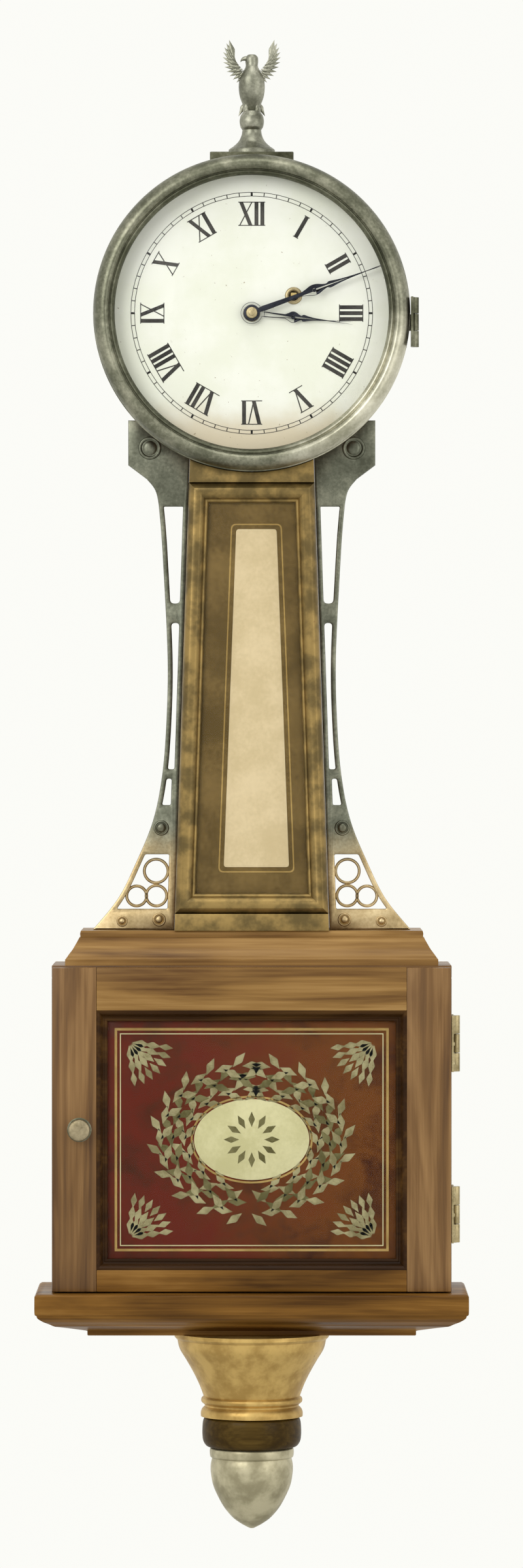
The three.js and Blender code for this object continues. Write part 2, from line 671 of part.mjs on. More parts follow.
const caseLeafX = box.halfWidth + gap;
const doorLeafX = doorHalf + gap;
addPart('door_frame', doorFrame(), finish.mahogany);
addPart('door_tablet', doorTablet(), finish.tabletGlass);
addPart('door_latch', doorLatch(), finish.darkBrass, { x: latch.x, z: latch.z });
for (const [name, z] of [['upper', doorHinge.upperZ], ['lower', doorHinge.lowerZ]]) {
  addPart(`door_hinge_case_leaf_${name}`, caseLeaf(doorHinge, z, caseLeafX), finish.brass);
  addPart(`door_hinge_leaf_${name}`, flapLeaf(doorHinge, z, doorLeafX), finish.brass);
  addPart(`door_hinge_pin_${name}`, hingePin(doorHinge, z), finish.steel);
}

// Wheelwork: module and teeth, with the shares of a tooth's pitch that its tip and root take up
const wheelTooth = { tipShare: 0.1, rootShare: 0.25, addendumShare: 0.8, dedendumShare: 1.3 };
const leafTooth = { tipShare: 0.07, rootShare: 0.17, addendumShare: 0.6, dedendumShare: 1.1 };
const gears = {
  great: { module: 0.75, wheel: 72, pinion: 6 },
  centre: { module: 0.7, wheel: 54, pinion: 6 },
  third: { module: 0.65, wheel: 52, pinion: 6 },
  cannon: { module: 0.6, wheel: 36, pinion: 12 },
  hour: { module: 0.576, wheel: 40, pinion: 10 },
};
const pitchRadius = (pair, side) => pair.module * pair[side] / 2;
const spacing = (pair) => pitchRadius(pair, 'wheel') + pitchRadius(pair, 'pinion');

// Angles run clockwise from the top, as seen from the front
function around(radius, angle) {
  return [radius * Math.sin(angle), radius * Math.cos(angle)];
}

function placeAt(radius, angle) {
  const [x, z] = around(radius, angle);
  return { x, z };
}

// Places of the arbors
const centre = { x: 0, z: 0 };
const drumAngle = 67.4 * degree;
const drumPlace = placeAt(spacing(gears.great), drumAngle);
const escapePlace = { x: 0, z: escapement.wheelZ };
const thirdPlace = triangleApex(escapePlace.z, spacing(gears.centre), spacing(gears.third));
const studAngle = 225 * degree;
const studPlace = placeAt(spacing(gears.cannon), studAngle);
const escape = { teeth: 30, radius: 15, rootShare: 0.8, thickness: 1.5, rimWidth: 1.8 };
const palletPlace = { x: 0, z: pivotZ };

// The point left of the upright line, at one distance from its foot and another from its top
function triangleApex(height, fromFoot, fromTop) {
  const z = (fromFoot ** 2 - fromTop ** 2 + height ** 2) / (2 * height);
  return { x: -Math.sqrt(fromFoot ** 2 - z ** 2), z };
}

function toothedShape(teeth, module, tooth) {
  const pitch = fullTurn / teeth;
  const tip = module * (teeth / 2 + tooth.addendumShare);
  const root = module * (teeth / 2 - tooth.dedendumShare);
  const points = [];
  for (let i = 0; i < teeth; i += 1) {
    points.push(around(root, (i - tooth.rootShare) * pitch), around(tip, (i - tooth.tipShare) * pitch),
      around(tip, (i + tooth.tipShare) * pitch), around(root, (i + tooth.rootShare) * pitch));
  }
  return outline(points);
}

// Windows that leave spokes between a hub and a rim
function cross(shape, spokes, hub, rim, spokeWidth) {
  const steps = 3;
  const pitch = fullTurn / spokes;
  for (let i = 0; i < spokes; i += 1) {
    const arc = (radius) => Array.from({ length: steps + 1 }, (unused, step) => {
      const edge = spokeWidth / 2 / radius;
      return around(radius, i * pitch + edge + (pitch - 2 * edge) * step / steps);
    });
    const window = [...arc(rim), ...arc(hub).reverse()];
    shape.holes.push(new THREE.Path(window.map(([x, z]) => new THREE.Vector2(x, z))));
  }
  return shape;
}

// The turn that puts wheel B in mesh with wheel A, given A's turn and the way from A to B
function meshedTurn(turnA, teethA, teethB, placeA, placeB) {
  const way = Math.atan2(placeB.x - placeA.x, placeB.z - placeA.z);
  return way + Math.PI - (turnA - way) * teethA / teethB + Math.PI / teethB;
}

const wheelWork = {
  thickness: 2, thin: 1.5, hub: 3.2, rimWidth: 2.6, spokeWidth: 2.2, spokes: 4,
  pivot: 0.8, arbor: 1.1, pivotEnd: 0.3, endShake: 0.3,
};
const pivotBack = boardFront + wheelWork.pivotEnd;
const shoulderBack = backPlateFront + wheelWork.endShake;
const shoulderFront = frontPlateBack - wheelWork.endShake;
const pivotFront = frontPlateFront - wheelWork.pivotEnd;

// Where each wheel and pinion stands, in depth
const clearance = {
  greatBehind: 2.5, greatToEscape: 7, escapeToThird: 8.5, thirdToCentre: 3.5, thirdToDrum: 2,
};
const greatBack = backPlateFront + clearance.greatBehind;
const greatFront = greatBack + wheelWork.thickness;
const escapeBack = greatFront + clearance.greatToEscape;
const escapeFront = escapeBack + escape.thickness;
const thirdBack = escapeFront + clearance.escapeToThird;
const thirdFront = thirdBack + wheelWork.thin;
const centreBack = thirdFront + clearance.thirdToCentre;
const centreFront = centreBack + wheelWork.thin;
const pinionSpare = 1; // how far a pinion runs past its wheel on either side

function wheelDisc(pair, from, to, holes = true) {
  const shape = toothedShape(pair.wheel, pair.module, wheelTooth);
  const rim = pair.module * (pair.wheel / 2 - wheelTooth.dedendumShare) - wheelWork.rimWidth;
  if (holes) cross(shape, wheelWork.spokes, wheelWork.hub, rim, wheelWork.spokeWidth);
  return frontSolid(shape, from, to);
}

function pinionBar(pair, from, to) {
  return frontSolid(toothedShape(pair.pinion, pair.module, leafTooth), from, to);
}

function plainArbor() {
  return arbor(pivotBack, [
    [wheelWork.pivot, shoulderBack], [wheelWork.arbor, shoulderFront], [wheelWork.pivot, pivotFront],
  ]);
}

// Great wheel, click, drum and ratchet
const ratchet = { teeth: 24, radius: 11, rootShare: 0.84, thickness: 1.5, fromWheel: 0.6 };
const drum = {
  core: 6.5, flange: 10, flangeThickness: 1, ratchetHub: 7, arbor: 2.2, frontArbor: 2.6, squareHalf: 1.8,
  squareStandOut: 1.1,
};
const click = {
  pivotRadius: 17, pivotAngle: 210 * degree, noseAngle: 35 * degree, eye: 3, stud: 1.2, noseWidth: 1.6,
  bladeHalf: 2.4,
};
const line = { radius: 0.5 };
const lineRadius = drum.core + gap + line.radius; // from the drum's axis to the line's own axis
const ratchetBack = greatFront + ratchet.fromWheel;
const ratchetFront = ratchetBack + ratchet.thickness;
const drumFront = thirdFront + clearance.thirdToDrum;
const squareEnd = dialFront + drum.squareStandOut;

const sawRakeShare = 0.12; // how far behind its tip a saw tooth's root lies, as a share of the pitch

function sawShape(teeth, radius, rootShare) {
  const pitch = fullTurn / teeth;
  const points = [];
  for (let i = 0; i < teeth; i += 1) {
    points.push(around(radius, i * pitch), around(radius * rootShare, (i + sawRakeShare) * pitch));
  }
  return outline(points);
}

function greatWheel() {
  const disc = wheelDisc(gears.great, greatBack, greatFront, false);
  const [x, z] = around(click.pivotRadius, click.pivotAngle);
  const stud = barForward(click.stud, greatBack, ratchetFront, facets.arbor, x, z);
  const bore = barForward(drum.arbor + gap, greatBack - overrun, greatFront + overrun);
  return cut(join(disc, stud), bore);
}

function clickPawl() {
  const [x, z] = around(click.pivotRadius, click.pivotAngle);
  const nose = around(ratchet.radius + gap, click.pivotAngle + click.noseAngle);
  const noseBack = around(ratchet.radius + gap + click.noseWidth, click.pivotAngle + click.noseAngle);
  const inner = around(click.pivotRadius - click.bladeHalf, click.pivotAngle);
  const outer = around(click.pivotRadius + click.bladeHalf, click.pivotAngle);
  const blade = frontSolid(outline([nose, noseBack, outer, inner]), ratchetBack, ratchetFront);
  const eye = barForward(click.eye, ratchetBack, ratchetFront, facets.arbor, x, z);
  const bore = barForward(click.stud + gap, ratchetBack - overrun, ratchetFront + overrun, facets.arbor,
    x, z);
  return cut(join(blade, eye), bore);
}

function windingDrum() {
  const coreBack = ratchetFront + drum.flangeThickness;
  const body = arbor(pivotBack, [
    [wheelWork.pivot, shoulderBack], [drum.arbor, ratchetBack], [drum.ratchetHub, ratchetFront],
    [drum.flange, coreBack], [drum.core, drumFront - drum.flangeThickness], [drum.flange, drumFront],
    [drum.frontArbor, frontPlateFront + overrun],
  ], facets.small);
  const teeth = frontSolid(sawShape(ratchet.teeth, ratchet.radius, ratchet.rootShare), ratchetBack,
    ratchetFront);
  const square = block(-drum.squareHalf, drum.squareHalf, frontPlateFront, squareEnd, -drum.squareHalf,
    drum.squareHalf);
  return join(body, teeth, square);
}

const arborFrontRadius = 1.5; // the centre arbor inside the cannon pipe
const handFromDial = { hour: 1.7, minute: 4.7 };
const handStation = {
  hour: dialFront + handFromDial.hour,
  minute: dialFront + handFromDial.minute,
  thickness: 1.1,
  pipeSpare: 0.3,
};
const pipeFront = handStation.minute + handStation.thickness + handStation.pipeSpare;

function centreWheel() {
  const shaft = arbor(pivotBack, [
    [wheelWork.pivot, shoulderBack], [wheelWork.arbor, shoulderFront], [arborFrontRadius, pipeFront],
  ]);
  return join(shaft, pinionBar(gears.great, greatBack - pinionSpare, greatFront + pinionSpare),
    wheelDisc(gears.centre, centreBack, centreFront));
}

function thirdWheel() {
  return join(plainArbor(), pinionBar(gears.centre, centreBack - pinionSpare, centreFront + pinionSpare),
    wheelDisc(gears.third, thirdBack, thirdFront));
}

function escapeWheel() {
  const shape = sawShape(escape.teeth, escape.radius, escape.rootShare);
  cross(shape, wheelWork.spokes, wheelWork.hub, escape.radius * escape.rootShare - escape.rimWidth,
    wheelWork.spokeWidth);
  return join(plainArbor(), pinionBar(gears.third, thirdBack - pinionSpare, thirdFront + pinionSpare),
    frontSolid(shape, escapeBack, escapeFront));
}

// Pallets as [share of the span between the arbors, the same] beside and above the pallet arbor
const palletShares = [
  [0, 0.17], [0.21, 0.135], [0.69, -0.24], [0.645, -0.425], [0.49, -0.31], [0.17, -0.124], [0, -0.145],
];
const crutch = {
  hub: 2.4, depth: 1.5, fromPlate: 0.8, armHalf: 1.2, forkZ: 27, forkHalf: 2, prong: 1.6, reach: 2,
};
const rod = { radius: 1.3, ringInner: 9, ringOuter: 12, ringDepth: 2, blockHalf: 2.5, blockHeight: 7.5 };
const palletPlateHole = 2;

function palletAnchor() {
  const span = escapement.palletRise;
  const right = palletShares.map(([x, z]) => [x * span, z * span]);
  const left = right.slice(1, -1).reverse().map(([x, z]) => [-x, z]);
  const anchor = frontSolid(outline([...right, ...left]), escapeBack, escapeFront);
  const crutchBack = frontPlateFront + crutch.fromPlate;
  const crutchFront = crutchBack + crutch.depth;
  const shaft = arbor(pivotBack, [
    [wheelWork.pivot, shoulderBack], [wheelWork.arbor, crutchBack], [crutch.hub, crutchFront],
  ]);
  const low = crutch.forkZ - palletPlace.z;
  const armBar = block(-crutch.armHalf, crutch.armHalf, crutchBack, crutchFront, low, 0);
  const slotHalf = rod.radius + gap;
  const half = slotHalf + crutch.prong;
  const bridge = block(-half, half, crutchBack, crutchFront + crutch.depth, low - crutch.forkHalf,
    low + crutch.forkHalf);
  const prongs = [-1, 1].map((side) => block(Math.min(side * slotHalf, side * half),
    Math.max(side * slotHalf, side * half), crutchFront, pendulumDepth + crutch.reach,
    low - crutch.forkHalf, low + crutch.forkHalf));
  return join(shaft, anchor, armBar, bridge, ...prongs);
}

// Motion work in front of the front plate
const motion = {
  fromPlate: 1, thickness: 2, hourGap: 1.1, hourThickness: 1.4, pinionSpare: 0.2, stud: 1.2,
  cannonPipe: 2.6, hourPipeInner: 3.1, hourPipeOuter: 4.2,
};
const cannonBack = frontPlateFront + motion.fromPlate;
const cannonFront = cannonBack + motion.thickness;
const hourBack = cannonFront + motion.hourGap;
const hourFront = hourBack + motion.hourThickness;
const studEnd = hourFront + motion.thickness / 2;

function pipe(inner, outer, from, to) {
  return closed(turnedForward([
    [inner, from], [outer, from], [outer, to], [inner, to], [inner, from],
  ], facets.small));
}

function cannonPinion() {
  const leaves = frontSolid(toothedShape(gears.cannon.pinion, gears.cannon.module, wheelTooth), cannonBack,
    cannonFront);
  const bore = barForward(arborFrontRadius + gap, cannonBack - overrun, pipeFront + overrun);
  return cut(join(leaves, barForward(motion.cannonPipe, cannonBack, pipeFront, facets.small)), bore);
}

function minuteWheel() {
  const bore = barForward(motion.stud + gap, cannonBack - overrun, hourFront + overrun);
  const pinion = frontSolid(toothedShape(gears.hour.pinion, gears.hour.module, leafTooth), cannonBack,
    hourFront + motion.pinionSpare);
  return cut(join(wheelDisc(gears.cannon, cannonBack, cannonFront, false), pinion), bore);
}

function hourWheel() {
  const disc = wheelDisc(gears.hour, hourBack, hourFront, false);
  const pipeEnd = handStation.hour + handStation.thickness + handStation.pipeSpare;
  const tube = barForward(motion.hourPipeOuter, hourBack, pipeEnd, facets.small);
  return cut(join(disc, tube), barForward(motion.hourPipeInner, hourBack - overrun, pipeEnd + overrun,
    facets.small));
}

// Hands, pointing up: the blade as [half width, distance from the centre] in shares of the length
const bladeShares = [
  [0.02, 0.06], [0.016, 0.46], [0.046, 0.56], [0.036, 0.66], [0.012, 0.82], [0.005, 1],
];
const hourHandSize = { length: 45, hub: 7, breadth: 1.5 };
const minuteHandSize = { length: 72, hub: 5.2, breadth: 0.9 };
const timeShown = { minuteAngle: 70 * degree, hourAngle: 95.8 * degree };

function hand(size, bore, station) {
  const right = bladeShares.map(([half, along]) => [half * size.length * size.breadth, along * size.length]);
  const left = right.slice().reverse().map(([x, z]) => [-x, z]);
  const blade = frontSolid(outline([...right, ...left]), station, station + handStation.thickness);
  const hub = barForward(size.hub, station, station + handStation.thickness, facets.small);
  return cut(join(hub, blade), barForward(bore, station - overrun, station + handStation.thickness + overrun,
    facets.small));
}

const nut = { radius: 3.6, base: 1.4, tip: 2.2, thickness: 2.4 };

function handNut() {
  const from = pipeFront + gap;
  return closed(arbor(from, [[nut.radius, from + nut.base], [nut.tip, from + nut.thickness]]));
}

// Plates: the back one carries four pillars and the line's post
const pillar = { radius: 3, x: 46, high: 52, low: -26 };
const linePost = { radius: 1.5, z: -24 };
const lineX = drumPlace.x - lineRadius; // the falling run, and mirrored the fixed one

function plateBlank(from, to) {
  return block(-plates.halfWidth, plates.halfWidth, from, to, plates.bottom, plates.top);
}

function plateHole(place, radius, from, to) {
  return barForward(radius, from - overrun, to + overrun, facets.arbor, place.x, place.z);
}

function backPlate() {
  const posts = [];
  for (const x of [-pillar.x, pillar.x]) {
    for (const z of [pillar.low, pillar.high]) {
      posts.push(barForward(pillar.radius, boardFront, frontPlateBack, facets.arbor, x, z));
    }
  }
  posts.push(barForward(linePost.radius, boardFront, frontPlateBack, facets.arbor, -lineX, linePost.z));
  const holes = [centre, thirdPlace, escapePlace, palletPlace, drumPlace].map(
    (place) => plateHole(place, wheelWork.pivot + gap, boardFront, backPlateFront));
  return cut(join(plateBlank(boardFront, backPlateFront), ...posts), ...holes);
}

function frontPlate() {
  const stud = barForward(motion.stud, frontPlateBack, studEnd, facets.arbor, studPlace.x, studPlace.z);
  const hole = (place, radius) => plateHole(place, radius, frontPlateBack, frontPlateFront);
  return join(cut(plateBlank(frontPlateBack, frontPlateFront), hole(centre, arborFrontRadius + gap),
    hole(thirdPlace, wheelWork.pivot + gap), hole(escapePlace, wheelWork.pivot + gap),
    hole(palletPlace, palletPlateHole), hole(drumPlace, drum.frontArbor + gap)), stud);
}

function dialPlate() {
  const disc = barForward(head.outer - dial.rimInset, headFront, dialFront, facets.great);
  const centreHole = barForward(dial.centreHole, headFront - overrun, dialFront + overrun, facets.small);
  const windingHole = barForward(dial.windingHole, headFront - overrun, dialFront + overrun, facets.small,
    drumPlace.x, drumPlace.z);
  return cut(disc, centreHole, windingHole);
}

const greatTurn = 0;
const centreTurn = meshedTurn(greatTurn, gears.great.wheel, gears.great.pinion, drumPlace, centre);
const thirdTurn = meshedTurn(centreTurn, gears.centre.wheel, gears.centre.pinion, centre, thirdPlace);
const escapeTurn = meshedTurn(thirdTurn, gears.third.wheel, gears.third.pinion, thirdPlace, escapePlace);
const minuteTurn = meshedTurn(0, gears.cannon.pinion, gears.cannon.wheel, centre, studPlace);
const hourTurn = meshedTurn(minuteTurn, gears.hour.pinion, gears.hour.wheel, studPlace, centre);

addPart('dial', dialPlate(), finish.paintedDial);
addPart('back_plate', backPlate(), finish.movementBrass);
addPart('front_plate', frontPlate(), finish.movementBrass);
addPart('great_wheel', greatWheel(), finish.movementBrass, { ...drumPlace, turn: greatTurn });
addPart('click', clickPawl(), finish.steel, { ...drumPlace, turn: greatTurn });
addPart('winding_drum', windingDrum(), finish.movementBrass, drumPlace);
addPart('centre_wheel', centreWheel(), finish.movementBrass, { turn: centreTurn });
addPart('third_wheel', thirdWheel(), finish.movementBrass, { ...thirdPlace, turn: thirdTurn });
addPart('escape_wheel', escapeWheel(), finish.movementBrass, { ...escapePlace, turn: escapeTurn });
addPart('pallet_anchor', palletAnchor(), finish.steel, palletPlace);
addPart('cannon_pinion', cannonPinion(), finish.movementBrass);
addPart('minute_wheel', minuteWheel(), finish.movementBrass, { ...studPlace, turn: minuteTurn });
addPart('hour_wheel', hourWheel(), finish.movementBrass, { turn: hourTurn });
addPart('hour_hand', hand(hourHandSize, motion.hourPipeOuter + gap, handStation.hour), finish.blued,
  { turn: timeShown.hourAngle });
addPart('minute_hand', hand(minuteHandSize, motion.cannonPipe + gap, handStation.minute), finish.blued,
  { turn: timeShown.minuteAngle });
addPart('hand_nut', handNut(), finish.blued);

// Pendulum, hung from a cock on the front plate
const cock = { footHalf: 10, footThickness: 1.5, armHalf: 5, armBottom: 58.6, slotHalf: 0.9, reach: 4 };
const spring = { halfThickness: 0.15, halfWidth: 3, pin: 1, pinHalf: 4 };
const ratingNut = { radius: 6, thickness: 5 };
const bobShares = [[0, 1], [0.4, 0.93], [0.7, 0.66], [0.9, 0.36], [1, 0.16]];

function suspensionCock() {
  const { footHalf, footThickness, armHalf, armBottom, slotHalf, reach } = cock;
  const footFront = frontPlateFront + footThickness;
  const foot = block(-footHalf, footHalf, frontPlateFront, footFront, armBottom, plates.top);
  const armBar = block(-armHalf, armHalf, frontPlateFront, pendulumDepth + reach, armBottom, plates.top);
  const slot = block(-slotHalf, slotHalf, pendulumDepth - spring.halfWidth - gap,
    pendulumDepth + reach + overrun, armBottom - overrun, plates.top + overrun);
  return cut(join(foot, armBar), slot);
}

function suspensionSpring() {
  const strip = block(-spring.halfThickness, spring.halfThickness, pendulumDepth - spring.halfWidth,
    pendulumDepth + spring.halfWidth, pendulum.headZ + gap, plates.top + gap + spring.pin);
  const pin = new THREE.CylinderGeometry(spring.pin, spring.pin, 2 * spring.pinHalf, facets.arbor);
  pin.rotateZ(Math.PI / 2);
  pin.translate(0, -pendulumDepth, plates.top + gap + spring.pin);
  return join(strip, pin);
}

function pendulumRod() {
  const ringFrom = pendulumDepth - rod.ringDepth / 2;
  const shaft = barUp(rod.radius, rodFootZ, pendulum.headZ - rod.blockHalf, 0, pendulumDepth);
  const topBlock = block(-rod.blockHalf, rod.blockHalf, pendulumDepth - rod.blockHalf,
    pendulumDepth + rod.blockHalf, pendulum.headZ - rod.blockHeight, pendulum.headZ);
  const ring = barForward(rod.ringOuter, ringFrom, ringFrom + rod.ringDepth, facets.small);
  const eye = barForward(rod.ringInner, ringFrom - overrun, ringFrom + rod.ringDepth + overrun, facets.small);
  return cut(join(shaft, topBlock, ring), eye);
}

function pendulumBob() {
  const half = pendulum.bobThickness / 2;
  const face = bobShares.map(([r, d]) => [r * pendulum.bobRadius, d * half]);
  const profile = [
    ...face.map(([r, d]) => [r, pendulumDepth - d]),
    ...face.slice().reverse().map(([r, d]) => [r, pendulumDepth + d]),
  ];
  const lens = turnedForward(profile, facets.turned).translate(0, 0, bobZ);
  const slide = rod.radius + gap;
  return cut(lens, barUp(slide, bobZ - pendulum.bobRadius - overrun, bobZ + pendulum.bobRadius + overrun, 0,
    pendulumDepth));
}

function ratingNutTurning() {
  const top = bobZ - pendulum.bobRadius - gap;
  const low = top - ratingNut.thickness;
  const inner = rod.radius + gap;
  return closed(turnedUp([
    [inner, low], [ratingNut.radius, low], [ratingNut.radius, top], [inner, top], [inner, low],
  ], facets.small, pendulumDepth));
}

addPart('suspension_cock', suspensionCock(), finish.movementBrass);
addPart('suspension_spring', suspensionSpring(), finish.steel);
addPart('pendulum_rod', pendulumRod(), finish.steel);
addPart('pendulum_bob', pendulumBob(), finish.brass);
addPart('rating_nut', ratingNutTurning(), finish.brass);

// Weight, pulley, line and the tin baffle in front of them
const pulley = {
  radius: lineX - line.radius - gap, flange: 2.8, halfWidth: 3, mouthHalf: 1.5, grooveHalf: 0.6, pin: 1.5,
};
const stirrup = { halfWidth: 5, strap: 1.3, bridge: 3, spare: 2 };
const weight = { halfWidth: 28, thickness: 26, height: 118, floorGap: 5 };
const weightLow = box.bottom + box.lid + weight.floorGap;
const weightTop = weightLow + weight.height;
const pulleyZ = weightTop + gap + stirrup.bridge + stirrup.spare + pulley.radius + pulley.flange;
const baffle = { thickness: 1, fromWeight: 2, top: -104, bottomGap: 2 };

function pulleyWheel() {
  const rim = pulley.radius + pulley.flange;
  const inner = pulley.pin + gap;
  const [back, front] = [lineDepth - pulley.halfWidth, lineDepth + pulley.halfWidth];
  return closed(turnedForward([
    [inner, back], [rim, back], [rim, lineDepth - pulley.mouthHalf],
    [pulley.radius, lineDepth - pulley.grooveHalf], [pulley.radius, lineDepth + pulley.grooveHalf],
    [rim, lineDepth + pulley.mouthHalf], [rim, front], [inner, front], [inner, back],
  ], facets.pulley));
}

function pulleyStirrup() {
  const low = weightTop + gap;
  const faceGap = pulley.halfWidth + gap;
  const strap = (side) => {
    const [d0, d1] = [lineDepth + side * faceGap, lineDepth + side * (faceGap + stirrup.strap)];
    return block(-stirrup.halfWidth, stirrup.halfWidth, Math.min(d0, d1), Math.max(d0, d1), low,
      pulleyZ + stirrup.halfWidth);
  };
  const outer = faceGap + stirrup.strap;
  const bridge = block(-stirrup.halfWidth, stirrup.halfWidth, lineDepth - outer, lineDepth + outer, low,
    low + stirrup.bridge);
  const axleHalf = outer + stirrup.strap / 2;
  const axle = barForward(pulley.pin, lineDepth - axleHalf, lineDepth + axleHalf, facets.arbor, 0, pulleyZ);
  return join(bridge, strap(1), strap(-1), axle);
}

function weightBlock() {
  return closed(block(-weight.halfWidth, weight.halfWidth, lineDepth - weight.thickness / 2,
    lineDepth + weight.thickness / 2, weightLow, weightTop));
}

// Sweeps a round section along points that lie in one upright plane at the line's depth
function lineTube(points) {
  const sides = 8;
  const position = [];
  const faces = [];
  points.forEach((point, i) => {
    const before = points[Math.max(i - 1, 0)];
    const after = points[Math.min(i + 1, points.length - 1)];
    const across = new THREE.Vector2(after.y - before.y, before.x - after.x).normalize();
    for (let side = 0; side < sides; side += 1) {
      const angle = fullTurn * side / sides;
      const out = line.radius * Math.cos(angle);
      const back = line.radius * Math.sin(angle) - lineDepth;
      position.push(point.x + across.x * out, back, point.y + across.y * out);
    }
    if (i === 0) return;
    for (let side = 0; side < sides; side += 1) {
      const [a, b] = [(i - 1) * sides + side, (i - 1) * sides + (side + 1) % sides];
      faces.push(a, b, a + sides, b, b + sides, a + sides);
    }
  });
  const last = (points.length - 1) * sides;
  for (let side = 1; side + 1 < sides; side += 1) {
    faces.push(0, side + 1, side, last, last + side, last + side + 1);
  }
  const geometry = new THREE.BufferGeometry();
  geometry.setAttribute('position', new THREE.Float32BufferAttribute(position, 3));
  geometry.setIndex(faces);
  return closed(geometry);
}

// Over the drum, down, round the pulley and up to the post
function gutLine() {
  const arc = (x, z, radius, from, to, steps) => Array.from({ length: steps + 1 }, (unused, step) => {
    const [dx, dz] = around(radius, from + (to - from) * step / steps);
    return new THREE.Vector2(x + dx, z + dz);
  });
  return lineTube([
    ...arc(drumPlace.x, drumPlace.z, lineRadius, 0, -Math.PI / 2, 6),
    ...arc(0, pulleyZ, lineX, Math.PI / 2, 1.5 * Math.PI, 16),
    new THREE.Vector2(-lineX, linePost.z - linePost.radius - gap),
  ]);
}

function weightBaffle() {
  const from = lineDepth + weight.thickness / 2 + baffle.fromWeight;
  const bottom = throat.footZ + baffle.bottomGap;
  const shape = throatOutline(baffle.top, bottom, throat.wall + gap);
  return closed(frontSolid(shape, from, from + baffle.thickness));
}

addPart('weight_baffle', weightBaffle(), finish.tin);
addPart('weight', weightBlock(), finish.iron);
addPart('pulley_stirrup', pulleyStirrup(), finish.movementBrass);
addPart('pulley', pulleyWheel(), finish.movementBrass, { z: pulleyZ });
addPart('gut_line', gutLine(), finish.gut);

export default clock;
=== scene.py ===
import json
import math

import bmesh
import bpy
from mathutils import Matrix, Vector


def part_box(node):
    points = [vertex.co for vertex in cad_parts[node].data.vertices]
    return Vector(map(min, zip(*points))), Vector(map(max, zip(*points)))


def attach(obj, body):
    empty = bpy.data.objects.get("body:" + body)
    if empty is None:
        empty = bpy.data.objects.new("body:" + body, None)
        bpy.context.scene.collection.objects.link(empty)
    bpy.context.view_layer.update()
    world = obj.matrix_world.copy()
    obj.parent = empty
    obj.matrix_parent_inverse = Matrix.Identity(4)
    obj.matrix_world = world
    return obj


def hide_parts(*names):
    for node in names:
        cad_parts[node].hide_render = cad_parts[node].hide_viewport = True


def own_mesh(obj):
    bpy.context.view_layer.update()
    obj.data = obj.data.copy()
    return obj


# Lengths are millimetres until a mesh is made. A depth d lies at y = -d, forward of the wall.
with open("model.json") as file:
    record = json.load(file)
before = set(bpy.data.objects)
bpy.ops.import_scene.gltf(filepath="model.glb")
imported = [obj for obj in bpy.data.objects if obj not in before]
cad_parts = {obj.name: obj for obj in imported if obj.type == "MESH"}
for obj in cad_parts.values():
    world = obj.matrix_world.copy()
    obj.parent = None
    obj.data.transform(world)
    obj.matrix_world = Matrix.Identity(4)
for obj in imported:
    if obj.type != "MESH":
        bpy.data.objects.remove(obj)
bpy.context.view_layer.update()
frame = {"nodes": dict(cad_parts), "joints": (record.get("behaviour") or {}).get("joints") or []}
mm = 0.001
fullTurn = 2 * math.pi
quarterTurn = math.pi / 2


def linked(name, data):
    holder = bpy.data.objects.new(name, data)
    bpy.context.scene.collection.objects.link(holder)
    return holder


def evaluated(holder):
    # The plain mesh that an object's modifiers or its curve give
    bpy.context.view_layer.update()
    return bpy.data.meshes.new_from_object(holder.evaluated_get(bpy.context.evaluated_depsgraph_get()))


# Node trees


class Wire:
    # One socket: a sum with it adds a Math node to its tree
    def __init__(self, web, socket):
        self.web = web
        self.socket = socket

    def math(self, operation, first, second=0.0):
        return self.web.node("ShaderNodeMath", {"operation": operation}, {0: first, 1: second})

    def __add__(self, other):
        return self.math("ADD", self, other)

    def __radd__(self, other):
        return self.math("ADD", other, self)

    def __sub__(self, other):
        return self.math("SUBTRACT", self, other)

    def __rsub__(self, other):
        return self.math("SUBTRACT", other, self)

    def __mul__(self, other):
        return self.math("MULTIPLY", self, other)

    def __rmul__(self, other):
        return self.math("MULTIPLY", other, self)

    def __truediv__(self, other):
        return self.math("DIVIDE", self, other)

    def __mod__(self, other):
        return self.math("MODULO", self, other)

    def larger(self, other):
        return self.math("MAXIMUM", self, other)

    def eased(self, low, high):
        steps = {"interpolation_type": "SMOOTHSTEP"}
        return self.web.node("ShaderNodeMapRange", steps, {0: self, 1: low, 2: high, 3: 0.0, 4: 1.0})


def fourfold(colour):
    return colour if isinstance(colour, Wire) else (*colour, 1.0)


class Web:
    def __init__(self, tree):
        self.tree = tree

    def node(self, kind, settings=None, values=None, output=0):
        made = self.tree.nodes.new(kind)
        for key, value in (settings or {}).items():
            if key == "stops":
                self.fillRamp(made.color_ramp.elements, value)
            else:
                setattr(made, key, value)
        for key, value in (values or {}).items():
            place = made.inputs[key]
            if isinstance(value, Wire):
                self.tree.links.new(value.socket, place)
            else:
                place.default_value = value
        return Wire(self, made.outputs[output]) if len(made.outputs) else None

    def fillRamp(self, elements, stops):
        while len(elements) > 1:
            elements.remove(elements[-1])
        elements[0].position = stops[0][0]
        elements[0].color = fourfold(stops[0][1])
        for position, colour in stops[1:]:
            elements.new(position).color = fourfold(colour)


